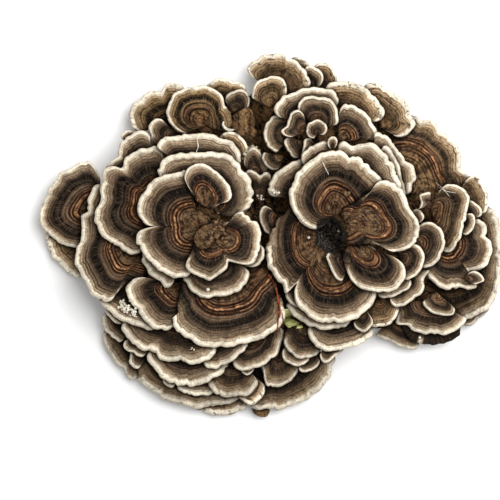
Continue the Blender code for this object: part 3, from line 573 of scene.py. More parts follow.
      (68.5, -22.5), (66, -22.5)]),
    ("top_inner_left_cap", "weathered", (0, 63.5), 19,
     [(-10, 69.5), (-8.5, 73.5), (-6.5, 77), (-3, 79), (1.5, 80), (5, 79.5), (7.5, 77.5), (8.5, 74),
      (9, 71)]),
    ("top_middle_old_cap", "weathered", (-21, 58.5), 20,
     [(-12, 64.5), (-8.5, 62), (-7.5, 58), (-7.5, 54), (-6.5, 51.5), (-8.5, 48.5), (-11.5, 46),
      (-16, 47.5), (-20, 50.5)]),
    ("left_strip_cap", "young", (-45, 48.5), 19,
     [(-55, 59), (-58.5, 58), (-61, 54.5), (-60.5, 50.5), (-61.5, 47), (-61, 44)]),
    ("top_left_big_cap", "ochre", (-32, 54.5), 24,
     [(-44.5, 50.5), (-48, 53.5), (-51, 57.5), (-52, 61.5), (-50, 68), (-46.5, 72), (-41.5, 74),
      (-36, 75), (-31, 74.5), (-26.5, 72.5), (-23.5, 69), (-22.5, 65), (-19, 59), (-21, 51)]),
    ("valley_upper_cap", "young", (-7, 26.5), 24,
     [(-13.5, 36), (-13, 40), (-11.5, 42.5), (-9, 44.2), (-6.4, 43.6), (-4.5, 41), (-3, 37.5),
      (0, 34)]),
    ("valley_dark_cap", "shaded", (7.5, 40), 22,
     [(-4, 41.5), (-4, 37.5), (-2, 34.5), (1, 32.5), (4, 32.5)]),
    ("valley_middle_cap", "shaded", (-5, 15), 28,
     [(-13.5, 31), (-11, 32.5), (-7.5, 32), (-5, 30), (-2.5, 31.5), (0, 30.5), (1.5, 28)]),
    ("left_shoulder_cap", "young", (-60, 31.5), 25,
     [(-60, 51), (-64, 52.5), (-68, 51.5), (-72, 49), (-75.5, 45), (-77, 40), (-80.5, 36.5),
      (-83, 32.5), (-84.5, 29.5)]),
    ("left_lower_big_cap", "rusty", (-61, 0), 22,
     [(-85, 27), (-89, 23.5), (-91.5, 18), (-92, 13), (-94.5, 9.5), (-95, 5.5), (-94.5, 1.5),
      (-95, -2.5), (-97, -7), (-98, -12.5), (-96.5, -17), (-93, -23), (-90, -28.5), (-86.5, -32),
      (-82.5, -33.5), (-79, -32.5), (-77, -29.5), (-71, -24), (-61, -22)]),
    ("left_middle_big_cap", "rusty", (-56, 15), 31,
     [(-52.5, 38.5), (-54.5, 42.5), (-58, 44.5), (-62, 43.5), (-66, 42.5), (-70, 40.5), (-73, 37.5),
      (-74, 33.5), (-78.5, 34.5), (-83, 33), (-84.5, 27.5), (-85, 21.5), (-85, 16), (-87.5, 12),
      (-87.5, 6.5), (-85, 1), (-80.5, -3.5), (-75, -7), (-69.5, -9.5), (-65.5, -9.5),
      (-63.5, -7.5)]),
    ("upper_rim_small_cap", "weathered", (-22.5, 38.5), 30,
     [(-26, 48.5), (-23, 51), (-19.5, 52), (-15.5, 50), (-12, 46.5), (-11, 43.5), (-12, 40.5)]),
    ("upper_rim_cap", "rusty", (-35, 27.5), 37,
     [(-57.5, 44.5), (-55.5, 47.5), (-52, 49), (-47, 49.5), (-42, 50.5), (-37, 50.5), (-32, 51),
      (-26, 49), (-20.5, 47.5), (-16.5, 44), (-14.5, 39.5), (-14, 34.5)]),
    ("centre_left_cap", "young", (11.5, 50), 24,
     [(4, 60.5), (0.5, 59), (-2, 56), (-3, 52), (-3, 47.5), (-1, 44), (1.5, 42), (2.5, 40.5)]),
    ("centre_strip_cap", "young", (19, 46.5), 29,
     [(8, 49), (7, 46), (8.5, 42.5), (10.5, 39.5), (13.5, 37.5)]),
    ("top_centre_cap", "young", (20, 55), 24,
     [(2.5, 59.5), (2, 63.5), (4, 67), (7.5, 70), (12, 71.5), (16.5, 73.5), (22, 74), (27, 73.5),
      (31, 73), (34, 70), (35.5, 66.5)]),
    ("top_inner_right_cap", "rusty", (34, 46.5), 29,
     [(34, 60.5), (36, 64.5), (39, 66), (43, 64.5), (47, 62), (50, 58.5), (52, 55.5), (53.5, 52),
      (54, 48)]),
    ("top_centre_inner_cap", "young", (24, 52.5), 31,
     [(13.5, 61.5), (14.5, 66), (17, 69), (21, 69.5), (26, 69), (30.5, 68), (33, 64.5), (34, 60),
      (34.5, 55.5)]),
    ("centre_grey_lobe_cap", "young", (19, 51.5), 34,
     [(16.5, 61), (13.5, 62.5), (10.5, 61), (9, 57.5), (8, 54.5), (5.5, 52), (6.5, 50),
      (9.5, 48.5)]),
    ("right_back_upper_cap", "young", (52.5, 25), 31,
     [(52, 52), (56.5, 51), (60, 48), (63, 44), (66, 40.5), (68.5, 37), (71.5, 34.5), (73, 31),
      (73, 27.5), (71, 25.5), (71, 22.5), (68.5, 19.5)]),
    ("right_rosette_under_cap", "young", (27.5, -22.5), 32,
     [(6.5, -35.5), (10, -38.5), (13.5, -42), (19, -45), (25.5, -47.5), (31.5, -47), (38, -46),
      (41.5, -44)]),
    ("front_left_pale_cap", "rusty", (-41, -25), 31,
     [(-60, -22), (-64.5, -21), (-69, -22.5), (-72, -26.5), (-71, -31), (-68.5, -35),
      (-65, -39.5), (-61, -44.5), (-56, -47.5), (-51, -47.5), (-47, -45.5)]),
    ("big_front_cap", "rusty", (-21, -18.5), 34,
     [(-43, -20), (-45, -28), (-46, -34), (-46, -39), (-49, -42), (-47.5, -47), (-43.5, -50),
      (-39, -53), (-34.5, -55.5), (-28.5, -56), (-21, -56), (-14.5, -54.5), (-8.5, -53.5),
      (-2.5, -51), (3, -47.5), (7, -43), (7.5, -38.5), (6.5, -33.5), (4, -27.5),
      (2.5, -21.5), (-1, -15.5)]),
    ("valley_tongue_cap", "young", (5, 8.5), 32,
     [(0.5, -0.5), (-2.5, 1.5), (-4.5, 5), (-5.5, 9), (-5, 12.5), (-3, 14.5), (-0.5, 14)]),
    ("right_hook_lobe", "young", (72, 5), 34,
     [(70.5, 11.5), (73, 13), (75.5, 12), (77, 9), (75.5, 6.5)]),
    ("right_strip_lobe", "young", (80, 15), 31,
     [(80, 22), (77.5, 21), (74.5, 20), (75, 16), (74, 13), (70.5, 12)]),
    ("right_rosette_left_cap", "young", (19, 17.5), 36,
     [(-1, 19.5), (-1, 24), (0.5, 28), (3.5, 31.5), (7, 34), (11, 36.5), (15, 38), (17.5, 37.5)]),
    ("centre_small_pale_lobe", "young", (22.5, 45), 34,
     [(19.5, 49), (17, 47.5), (16.5, 44.5), (16, 41.5), (15.5, 38.5)]),
    ("right_back_strip_cap", "young", (50, 22.5), 36,
     [(55, 42.5), (57.5, 45), (60.5, 42.5), (63, 38), (65, 33), (66, 27.5), (67.5, 22.5),
      (68.5, 19)]),
    ("centre_disc_cap", "young", (23.5, 50.5), 39,
     [(21.5, 47.5), (19, 49), (18, 52.5), (19, 55.5), (21.5, 57), (24.5, 57.5), (27.5, 55.5),
      (28.5, 52.5), (27, 49.5)]),
    ("right_rosette_grey_cap", "young", (40, 19), 41,
     [(33, 42), (34, 45), (37.5, 46.5), (40.5, 44.5), (43.5, 45), (48, 46), (52.5, 45),
      (56.5, 41.5), (60, 37.5), (62.5, 33), (64.5, 28), (66.5, 22.5)]),
    ("right_upper_strip_cap", "young", (26, 25), 39,
     [(15, 37), (16, 40.5), (18.5, 43), (22.5, 45.5), (27, 46.5), (31, 45.5)]),
    ("right_front_strip_cap", "young", (20, -22), 36,
     [(7, -29), (8, -31.5), (10, -34), (13, -36), (15, -37)]),
    ("right_rosette_front_cap", "rusty", (28, -1), 40,
     [(12, 15), (7, 11), (2, 5), (-0.5, -1.5), (-2.5, -7.5), (-2, -12), (-1, -16), (2.5, -21),
      (6, -25.5), (8, -29), (13, -24.5), (12, -28.5), (13, -34), (17.5, -39), (23, -43),
      (30, -44), (37.5, -43.5), (44, -41), (49.5, -36.5), (53, -31), (54, -27)]),
    ("right_knob", "young", (31, 42.5), 42,
     [(29, 43.5), (28.5, 46), (29.5, 48.5), (32, 49), (33.5, 47), (33, 44)]),
    ("left_under_left_cap", "young", (-40, -5), 37,
     [(-64.5, -8.5), (-64, -13), (-61.5, -17.5), (-58.5, -21), (-54.5, -23.5), (-52, -27),
      (-49.5, -26.5)]),
    ("left_under_front_cap", "young", (-27.5, -10), 38,
     [(-45, -21.5), (-41, -25.5), (-38, -29), (-34.5, -31), (-30.5, -31.5), (-26.5, -30.5),
      (-21.5, -30.5), (-16.5, -28.5), (-12.5, -25), (-10.5, -21), (-10.5, -18), (-12.5, -16)]),
    ("left_right_under_cap", "young", (-16, -5), 41,
     [(-12, -16), (-8, -16), (-4.5, -14), (-3, -11), (-3, -7), (-4.5, -4.5)]),
    ("left_rosette_back_cap", "young", (-31, 11), 44,
     [(-50, 17), (-55, 29), (-56, 32.5), (-54, 36.5), (-50.5, 39.5), (-47, 40), (-44.5, 41),
      (-40, 41), (-35, 41), (-29.5, 41.5), (-24, 41), (-19, 39), (-14.5, 34.5), (-10.5, 29),
      (-8.5, 23.5), (-8, 18), (-10, 14), (-13, 11.5), (-17, 8)]),
    ("right_pale_lobe_cap", "young", (40, -13.5), 46,
     [(35.5, -23.5), (32.5, -21.5), (30.5, -18), (29, -14), (27.5, -10.5), (29.5, -8.5),
      (32.5, -8)]),
    ("right_rosette_lower_cap", "rusty", (41, -3), 46,
     [(35.5, -9), (37, -15), (39, -20), (41, -23.5), (45, -26.5), (51, -28), (58.5, -28.5),
      (63, -26.5), (66, -23.5), (67.5, -19.5), (66.5, -15), (62.5, -11.5), (57.5, -9.5),
      (54, -8.5), (50, -4)]),
    ("left_rosette_left_cap", "rusty", (-34.5, 3.5), 48,
     [(-28.5, 3), (-29.5, 8), (-33, 11.5), (-37, 14), (-40, 22), (-41.5, 31.5), (-46.5, 31),
      (-52, 30), (-57, 28), (-60.5, 24.5), (-64, 19.5), (-66, 14), (-65, 9), (-61.5, 5),
      (-57.5, 4.4), (-61.5, 3.4), (-65.5, 1.5), (-66.5, -3), (-64, -8), (-60, -13),
      (-54.5, -18), (-48.5, -21), (-42.5, -21), (-39.5, -19), (-37, -14), (-33.5, -8),
      (-30, -3)]),
    ("right_rosette_back_cap", "rusty", (32, 9.5), 49,
     [(24, 2), (19, 3.5), (15, 6.5), (11.5, 11.5), (9.5, 17.5), (10, 23.5), (12.5, 29.5),
      (16.5, 34), (20.5, 37.5), (25, 40.5), (31, 42), (36.5, 41.5), (39.5, 39), (44, 39),
      (47.5, 36), (51, 32), (54.5, 28.5), (57, 23.5), (52, 16)]),
    ("left_rosette_crescent_cap", "rusty", (-32, 13.5), 51,
     [(-37, 17), (-41, 24.5), (-42.5, 28.5), (-41.5, 32), (-38, 35), (-34, 35.5), (-30, 34),
      (-26, 31), (-22.5, 27.5), (-19.5, 22.5), (-19, 19), (-21, 16.5), (-24, 16), (-29, 12)]),
    ("right_rosette_top_cap", "rusty", (38, 5.5), 53,
     [(34, 11), (39, 14.5), (44, 17.5), (50.5, 22), (53, 26), (56.5, 27), (61, 26), (65, 23),
      (67.5, 18.5), (69, 13.5), (72, 9.5), (74, 4), (73.5, -1.5), (70.5, -5.5), (66.5, -7.5),
      (61.5, -8.5), (57.5, -7), (55.5, -5.5), (50, -4.5), (44, -5), (39, -4.5), (34.5, -3)]),
    ("left_rosette_front_cap", "rusty", (-27.5, -2), 54,
     [(-33, 4), (-28, 6.5), (-23, 6), (-19.5, 7), (-17, 10.5), (-13.5, 11.5), (-10.5, 9),
      (-9.5, 7), (-6.5, 6.5), (-5, 2.5), (-4.5, -2.5), (-5.5, -8.5), (-8, -13.5), (-11.5, -15),
      (-15.5, -14.3), (-20.3, -13.4), (-21.3, -16.3), (-23.5, -18.5), (-27, -21), (-30.5, -22.5),
      (-34.5, -21), (-39, -19.5), (-41.5, -16.5), (-41.5, -13.5), (-38, -6), (-35.5, 1)]),
    ("left_centre_lobe", "young", (-27.5, -1.5), 57,
     [(-22.5, 1), (-23, 5), (-26, 6.5), (-30, 5.5), (-34, 4), (-37, 0.5), (-37.5, -4),
      (-34.5, -7), (-30, -6.5)]),
]


def smoothstep(low, high, value):
    """0 below low, 1 above high, and a soft rise between them."""
    share = np.clip((value - low) / (high - low), 0.0, 1.0)
    return share * share * (3.0 - 2.0 * share)


def wobble(place, wavelength, seed):
    """An uneven wave that stays between about -1 and 1 and repeats only after a long way."""
    phases = np.random.default_rng(seed).uniform(0.0, TURN, len(WOBBLE_PARTS))
    return sum(weight * np.sin(TURN * place / (wavelength * stretch) + phase)
               for (stretch, weight), phase in zip(WOBBLE_PARTS, phases))


def linear(red, green, blue):
    """A colour as a screen shows it, from 0 to 255, on Blender's linear scale."""
    shares = [value / 255.0 for value in (red, green, blue)]
    return tuple(share / 12.92 if share <= 0.04045 else ((share + 0.055) / 1.055) ** 2.4
                 for share in shares)


def smooth_path(points, steps):
    """A finer path through the points, on the Catmull-Rom curve."""
    raw = np.array(points, dtype=float)
    padded = np.vstack([2.0 * raw[0] - raw[1], raw, 2.0 * raw[-1] - raw[-2]])
    fine = [spline_point(*padded[i:i + 4], step / steps)
            for i in range(len(raw) - 1) for step in range(steps)]
    return np.array(fine + [raw[-1]])


def spline_point(before, start, end, after, share):
    square = share * share
    cube = square * share
    return 0.5 * (2.0 * start + (end - before) * share
                  + (2.0 * before - 5.0 * start + 4.0 * end - after) * square
                  + (3.0 * start - before - 3.0 * end + after) * cube)


def lengths_along(path):
    """Distance of each point of a path from its start, along it."""
    return np.concatenate([[0.0], np.cumsum(np.linalg.norm(np.diff(path, axis=0), axis=1))])


# ---------------------------------------------------------------- stacking the caps


class Margin:
    """Smooth curve through a cap's margin points, read by the distance along it."""

    def __init__(self, points):
        self.dense = smooth_path(points, SPLINE_STEPS)
        self.places = lengths_along(self.dense)
        self.length = self.places[-1]
        self.point_places = self.places[::SPLINE_STEPS]

    def at(self, places):
        return np.column_stack([np.interp(places, self.places, self.dense[:, axis])
                                for axis in (0, 1)])


class HeightMap:
    """Height of everything placed so far, in square cells."""

    def __init__(self):
        self.height = np.zeros([int(2.0 * half / RASTER_CELL) + 1 for half in RASTER_HALF])

    def positions(self, plan):
        """Column and row of each point, with its share of the way to the next cell."""
        return [(plan[..., axis] + RASTER_HALF[axis]) / RASTER_CELL for axis in (0, 1)]

    def cells(self, plan):
        return tuple(np.clip(np.rint(place).astype(int), 0, count - 1)
                     for place, count in zip(self.positions(plan), self.height.shape))

    def widened(self, merge=np.max):
        """Each cell takes the highest value of its neighbourhood, or another merge of it."""
        padded = np.pad(self.height, 1, mode="edge")
        columns, rows = self.height.shape
        shifts = [padded[i:i + columns, j:j + rows] for i in range(3) for j in range(3)]
        return merge(shifts, axis=0)

    def add(self, plan, top):
        np.maximum.at(self.height, self.cells(plan), top)

    def read(self, plan):
        """Height at points that lie between the cells' centres."""
        return blended(self.height, *self.positions(plan))

    def blurred(self, times):
        """A copy that is smoothed by averaging each cell with its neighbours."""
        soft = HeightMap()
        soft.height = self.height.copy()
        for _ in range(times):
            soft.height = soft.widened(np.mean)
        return soft


def blended(grid, columns, rows):
    """The values of a regular grid between its columns and rows, blended linearly."""
    i = np.clip(np.floor(columns).astype(int), 0, grid.shape[0] - 2)
    j = np.clip(np.floor(rows).astype(int), 0, grid.shape[1] - 2)
    over = np.clip(columns - i, 0.0, 1.0)
    up = np.clip(rows - j, 0.0, 1.0)
    near = grid[i, j] * (1.0 - over) + grid[i + 1, j] * over
    far = grid[i, j + 1] * (1.0 - over) + grid[i + 1, j + 1] * over
    return near * (1.0 - up) + far * up


class Cap:
    """One bracket: a fan from its seat to its margin, with its height at any place on it."""

    def __init__(self, number, sizes, name, finish, seat, height, margin):
        self.number = number
        self.sizes = sizes
        self.name = name
        self.finish = finish
        self.seat = np.array(seat, dtype=float)
        self.seat_height = height
        self.margin = Margin(margin)
        rough = self.margin.at(np.linspace(0.0, self.margin.length, REACH_SAMPLES))
        self.reach = np.linalg.norm(rough - self.seat, axis=1).mean()
        self.scale = float(np.clip(self.reach / FULL_REACH, SMALLEST_SCALE, 1.0))
        chance = np.random.default_rng(number * SEEDS_PER_CAP + NICK_SEED)
        count = int(self.margin.length / sizes.nick_spacing)
        self.nicks = np.column_stack([chance.uniform(0.0, self.margin.length, count),
                                      chance.uniform(*NICK_DEPTHS, count) * self.scale,
                                      chance.uniform(*NICK_WIDTHS, count)])

    def wave(self, kind, place):
        """One kind of this cap's unevenness."""
        wavelength, seed = WAVES[kind]
        return wobble(place, wavelength, self.number * SEEDS_PER_CAP + seed)

    def crenulated(self, places):
        """Margin points with the small scallops and the rounded ends of the fan."""
        rim = self.margin.at(places)
        spoke = rim - self.seat
        reach = np.linalg.norm(spoke, axis=1)
        ripple = self.sizes.scallop * self.scale
        change = ripple * self.wave("scallop", places)
        change += FINE_SCALLOP * ripple * self.wave("fine scallop", places)
        corner = min(self.sizes.corner * self.scale, CORNER_PART * self.margin.length)
        for place, depth, width in self.nicks:
            change -= depth * np.exp(-((places - place) / width) ** 2)
        along = np.gradient(rim, axis=0)
        facing = np.abs(along[:, 0] * spoke[:, 1] - along[:, 1] * spoke[:, 0])
        change *= (facing / reach / np.maximum(np.linalg.norm(along, axis=1), 1e-6)) ** 2
        from_end = np.minimum(places, self.margin.length - places)
        short = 1.0 - np.clip(from_end / corner, 0.0, 1.0)
        change -= corner * CORNER_DRAW * (1.0 - np.sqrt(1.0 - short ** 2))
        return rim + spoke / reach[:, None] * change[:, None]

    def bare_ends(self):
        """Where the pale margin starts and ends, as distances along the whole margin."""
        first, last = BARE_POINTS.get(self.name, (0, 0))
        marks = self.margin.point_places
        return marks[min(first, len(marks) - 1)], marks[max(0, len(marks) - 1 - last)]

    def bareness(self, places):
        """1 where the margin is old tissue without a pale edge, 0 where it is growing."""
        start, end = self.bare_ends()
        bare = np.zeros_like(places)
        if start > 0.0:
            bare = np.maximum(bare, 1.0 - smoothstep(start - BARE_FADE, start, places))
        if end < self.margin.length:
            bare = np.maximum(bare, smoothstep(end, end + BARE_FADE, places))
        return bare

    def design_height(self, places, share):
        """Height of the top before the caps below lift it."""
        rise = CLIMB * self.reach * share - DROOP * self.reach * share ** 3
        ruffle = self.sizes.ruffle * self.scale
        wave = self.wave("ruffle", places) + FINE_RUFFLE * self.wave("fine ruffle", places)
        return self.seat_height + rise + ruffle * share ** 2 * wave

    def stacking_grid(self):
        """Plan and height of the coarse grid that the cap is stacked with."""
        columns, rows = (max(least, int(length / STACK_STEP)) for least, length
                         in zip(LEAST_STACK_GRID, (self.margin.length, self.reach)))
        places = np.linspace(0.0, self.margin.length, columns)
        share = np.linspace(0.0, 1.0, rows)
        rim = self.crenulated(places)
        plan = self.seat + (rim[:, None, :] - self.seat) * share[None, :, None]
        return plan, self.design_height(places[:, None], share[None, :])

    def rest_on(self, below):
        """Lift the cap clear of everything below it, add it to the height map, give its plan."""
        plan, top = self.stacking_grid()
        self.lift = np.zeros(top.shape)
        floor = np.maximum(below.widened()[below.cells(plan)], LOWEST_UNDERSIDE - STACK_GAP)
        wanted = floor + STACK_GAP + self.sizes.thickness - top
        short = wanted > LIFT_TOLERANCE
        if short.any():
            props = {}
            for point, value in zip(plan[short], wanted[short]):
                key = tuple(np.rint(point / LIFT_CELL).astype(int))
                if key not in props or value > props[key][1]:
                    props[key] = (point, value)
            for point, value in props.values():
                away = np.linalg.norm(plan - point, axis=-1)
                self.lift = np.maximum(self.lift, value - LIFT_SLOPE * away)
            self.lift = np.maximum(self.lift, np.where(short, wanted, 0.0))
            self.soften_lift()
        below.add(plan, top + self.lift)
        self.inner_height = float((top + self.lift)[:, 0].mean())
        return plan

    def soften_lift(self):
        for _ in range(LIFT_SOFTENINGS):
            padded = np.pad(self.lift, 1, mode="edge")
            self.lift = (padded[1:-1, 1:-1] * 2.0 + padded[:-2, 1:-1] + padded[2:, 1:-1]
                         + padded[1:-1, :-2] + padded[1:-1, 2:]) / 6.0


class Stack(NamedTuple):
    """All caps in place, the height of what they make up and the plan that they cover."""

    caps: list
    surface: HeightMap
    cover: HeightMap
    knobs: np.ndarray  # position, height and flat radius of what each cap grows from


def stack():
    """The caps in place, stacked again only when one of the sizes has changed."""
    settings = bpy.context.scene.fungus_sizes
    return stacked(Sizes(*(getattr(settings, name) for name in Sizes._fields)))


@functools.lru_cache(maxsize=1)
def stacked(sizes):
    """Every cap lifted onto the ones below it, each with how far the caps above overhang it."""
    surface, cover = HeightMap(), HeightMap()
    caps = [Cap(number, sizes, *row) for number, row in enumerate(CAPS)]
    plans = [cap.rest_on(surface) for cap in caps]
    for cap, plan in zip(reversed(caps), reversed(plans)):
        # How far the caps above overhang this one, which sets the painted shade under them
        cap.overhang = cover.blurred(COVER_BLUR)
        cover.add(plan, 1.0)
    knobs = [(*cap.seat, cap.inner_height - KNOB_SINK, KNOB_SHARE * cap.reach)
             for cap in caps if cap.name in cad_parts]
    return Stack(caps, surface, cover, np.array(knobs))


def pit_drop(plan):
    """How far the surface sinks into the rotten hole of the right rosette."""
    from_centre = plan - np.array(PIT_CENTRE)
    turn = np.arctan2(from_centre[..., 1], from_centre[..., 0])
    radius = PIT_RADIUS * sum((depth * np.sin(count * turn + phase)
                               for depth, count, phase in PIT_WAVES), 1.0)
    away = np.linalg.norm(from_centre, axis=-1) / radius
    return PIT_DEPTH * (1.0 - smoothstep(*PIT_WALL, away))


def crust_height(plan):
    """Top of the crust: a cone under every cap's seat, joined into one mound."""
    knobs = stack().knobs
    away = np.linalg.norm(plan[..., None, :] - knobs[:, :2], axis=-1)
    return (knobs[:, 2] - CRUST_SLOPE * np.maximum(0.0, away - knobs[:, 3])).max(axis=-1)


def on_surface(plan, clearance):
    """Points of the plan laid on the caps and the crust, this far above them."""
    plan = np.array(plan, dtype=float)
    height = np.maximum(stack().surface.read(plan), crust_height(plan)) - pit_drop(plan)
    return np.column_stack([plan, height + clearance])


# ---------------------------------------------------------------- meshes of the pieces


def stations(length, step, both_ends):
    """Distances from 0 to length: fine near the edges, and one step apart between them."""
    start = np.array(EDGE_STEPS)
    start = start[start < EDGE_PART * length]
    if both_ends:
        count = max(LEAST_STEPS, round((length - 2.0 * start[-1]) / step))
        middle = np.linspace(start[-1], length - start[-1], count + 1)[1:-1]
        return np.concatenate([start, middle, length - start[::-1]])
    count = max(LEAST_STEPS, round((length - start[-1]) / step))
    return np.concatenate([start, np.linspace(start[-1], length, count + 1)[1:]])


def smooth_reach(reach, step, softness):
    """The reach along the margin with its small lobes averaged out."""
    half = max(1, int(softness / step))
    kernel = np.hanning(2 * half + 3)[1:-1]
    padded = np.pad(reach, half, mode="edge")
    return np.convolve(padded, kernel / kernel.sum(), mode="valid")


def band_position(cap, growth):
    """The growth distance, in millimetres from the margin, on the finishes' scale of 0 to 1."""
    share = RING_SHARES.get(cap.name, RING_SHARE)
    ring = (1.0 - share) * cap.reach
    edges = [edge * cap.scale * BAND_WIDTHS.get(cap.name, 1.0) for edge in BAND_EDGES]
    for edge in (ring - RUST_OUTSIDE * cap.scale, ring + RUST_INSIDE * cap.scale, cap.reach):
        edges.append(max(edges[-1] + LEAST_BAND, edge))
    return np.interp(growth, edges, BAND_MARKS)


class Fan:
    """Fine grid over a cap, from one side to the other and from the margin to the seat."""

    def __init__(self, cap):
        self.cap = cap
        length = cap.margin.length
        self.places = stations(length, cap.sizes.column_step, True)
        inward = stations(cap.reach * SEAT_STOP, cap.sizes.row_step, False)
        self.share = (1.0 - inward / cap.reach)[None, :]
        rim = cap.crenulated(self.places)
        self.reach = np.linalg.norm(rim - cap.seat, axis=1)
        self.bare = cap.bareness(self.places)[:, None]
        self.plan = cap.seat + (rim[:, None, :] - cap.seat) * self.share[..., None]
        self.from_margin = (1.0 - self.share) * self.reach[:, None]
        self.from_side = np.minimum(self.places, length - self.places)[:, None] * self.share
        self.spoke = self.places[:, None] * np.ones_like(self.share)

    def ring_reach(self):
        """The reach that the rings follow, which runs on over the bare ends of the margin."""
        cap, step = self.cap, self.cap.sizes.column_step
        start, end = sorted(cap.bare_ends())
        past = np.maximum(0.0, self.places - end)
        carried = np.interp(np.clip(self.places, start, end), self.places, self.reach)
        carried += BARE_RISE.get(cap.name, 0.0) * past * past / (past + BARE_RISE_START)
        carried = self.reach + (carried - self.reach) * self.bare[:, 0]
        softness = RING_SOFTNESSES.get(cap.name, RING_SOFTNESS)
        soft = smooth_reach(carried, step, softness)[:, None]
        softest = smooth_reach(soft[:, 0], step, SEAT_SOFTENING * softness)[:, None]
        near_seat = 1.0 - smoothstep(*SEAT_TURN, self.share)
        return soft * (1.0 - near_seat) + softest * near_seat

    def growth(self):
        """How far behind the growing edge each point lies, as its rings show it."""
        cap, from_margin, ring_reach = self.cap, self.from_margin, self.ring_reach()
        outer = min(BAND_EDGES[-1] * cap.scale, OUTER_PART * cap.reach)
        turn = np.maximum(smoothstep(*MARGIN_TURN, from_margin), self.bare)
        distance = (from_margin * (1.0 - turn)
                    + (ring_reach - self.share * self.reach[:, None]) * turn)
        stretch = np.clip((cap.reach - outer) / (ring_reach - outer), *RING_STRETCH)
        inner = outer + (distance - outer) * stretch
        growth = np.where(distance < outer, distance, inner)
        old = OLD_DEPTHS.get(cap.name, OLD_DEPTH) * cap.scale * self.bare
        side = self.from_side + SIDE_SLOPE * from_margin + BARE_SIDE * self.bare
        return np.minimum(np.maximum(growth, old), side)

    def top(self, growth):
        """Height of the top, with terraces, folds and a rolled margin."""
        cap, sizes, from_margin = self.cap, self.cap.sizes, self.from_margin
        columns, rows = (count - 1 for count in cap.lift.shape)
        top = cap.design_height(self.places[:, None], self.share)
        top = top + blended(cap.lift, self.spoke / cap.margin.length * columns,
                            (self.share + 0.0 * self.spoke) * rows)
        terrace = cap.wave("terrace", growth) + FINE_TERRACE * cap.wave("fine terrace", growth)
        top += sizes.terrace * terrace * smoothstep(*TERRACE_START, from_margin)
        sway = self.spoke + FOLD_SWAY * np.sin(growth / FOLD_SWAY_LENGTH)
        top += sizes.fold * self.share * cap.wave("fold", sway)
        roll, groove = (np.exp(-((from_margin - place * cap.scale) / (width * cap.scale)) ** 2)
                        for place, width in (ROLL, GROOVE))
        top += sizes.roll * cap.scale * (roll - GROOVE_DEPTH * groove) * (1.0 - self.bare)
        top -= sizes.curl * cap.scale * np.exp(-from_margin / (CURL_LENGTH * cap.scale))
        return top

    def bumps(self):
        """Lumps of the caps that are only an old knob."""
        across, along = self.plan[..., 0], self.plan[..., 1]
        return (self.cap.wave("knob across", across) * self.cap.wave("knob along", along)
                + KNOB_ASLANT * self.cap.wave("knob aslant", across + along))


def cap_surface(cap):
    """Grids of plan position, top, bottom and the finish's attributes over one cap."""
    fan = Fan(cap)
    growth = fan.growth()
    top = fan.top(growth)
    lump = KNOB_LUMPS.get(cap.name)
    if lump:
        bumps = fan.bumps()
        top += lump * bumps * smoothstep(*KNOB_START, fan.from_margin)
        growth = growth + KNOB_GROWTH * lump * bumps
        band = OLD_BAND - KNOB_BAND * bumps
    else:
        band = band_position(cap, growth)
    drop = pit_drop(fan.plan)
    thick = cap.sizes.thickness + cap.sizes.root_thickness * (1.0 - fan.share) ** 2 * cap.scale
    edge = np.minimum(fan.from_margin, fan.from_side) / cap.sizes.edge_round
    half = 0.5 * thick * np.sqrt(1.0 - (1.0 - np.clip(edge, 0.0, 1.0)) ** 2)
    middle = top - drop - 0.5 * thick
    # damp: painted shade under the caps that overhang this one
    values = {"band": band, "rings": growth, "spoke": fan.spoke, "pit": drop / PIT_DEPTH,
              "damp": cap.overhang.read(fan.plan)}
    return fan.plan, middle + half, np.maximum(middle - half, LOWEST_POINT), values


def store(mesh, values):
    """Keep one number of each kind for every vertex, for the finishes to read."""
    for key, numbers in values.items():
        layer = mesh.attributes.new(key, "FLOAT", "POINT")
        layer.data.foreach_set("value", numbers.astype(np.float32))


def shell_mesh(name, plan, top, bottom, values, seed):
    """A closed shell: a top grid and a bottom grid that share their outer edge."""
    columns, rows = top.shape
    upper = np.arange(columns * rows).reshape(columns, rows)
    lower = np.full_like(upper, -1)
    own = lower[1:-1, 1:].shape
    lower[1:-1, 1:] = columns * rows + np.arange(own[0] * own[1]).reshape(own)
    shared = lower < 0
    lower[shared] = upper[shared]
    points = np.concatenate([plan, top[..., None]], axis=-1).reshape(-1, 3)
    under = np.concatenate([plan, bottom[..., None]], axis=-1)[1:-1, 1:].reshape(-1, 3)

    def faces(grid):
        corners = [grid[:-1, :-1], grid[1:, :-1], grid[1:, 1:], grid[:-1, 1:]]
        return np.stack(corners, axis=-1).reshape(-1, 4)

    inner_top = upper[:, -1]
    inner_low = lower[:, -1]
    strip = np.stack([inner_top[:-1], inner_low[:-1], inner_low[1:], inner_top[1:]], axis=-1)
    quads = np.vstack([faces(upper), faces(lower)[:, ::-1], strip])
    side_a = plan[1, 0] - plan[0, 0]
    side_b = plan[0, 1] - plan[0, 0]
    if side_a[0] * side_b[1] - side_a[1] * side_b[0] < 0.0:
        quads = quads[:, ::-1]
    mesh = bpy.data.meshes.new(name)
    everything = np.vstack([points, under]) * MM
    mesh.from_pydata(everything.tolist(), [], quads.tolist())
    mesh.validate()
    below = np.zeros(len(everything))
    below[len(points):] = 1.0
    edge = np.zeros((columns, rows), dtype=bool)
    edge[[0, -1], :] = True
    edge[:, 0] = True
    below[:len(points)][edge.ravel()] = EDGE_UNDER
    store(mesh, {key: np.concatenate([grid.ravel(), grid[1:-1, 1:].ravel()])
                 for key, grid in values.items()})
    store(mesh, {"under": below, "seed": np.full(len(everything), seed)})
    mesh.shade_smooth()
    return mesh


def crust_outline(direction):
    """Distance from the crust's centre to its edge, in one direction."""
    distances = np.arange(CRUST_SEARCH, CRUST_LEAST_RADIUS, -OUTLINE_STEP)
    plan = np.array(CRUST_CENTRE) + distances[:, None] * direction
    return distances[crust_height(plan) > CRUST_RIM][0]


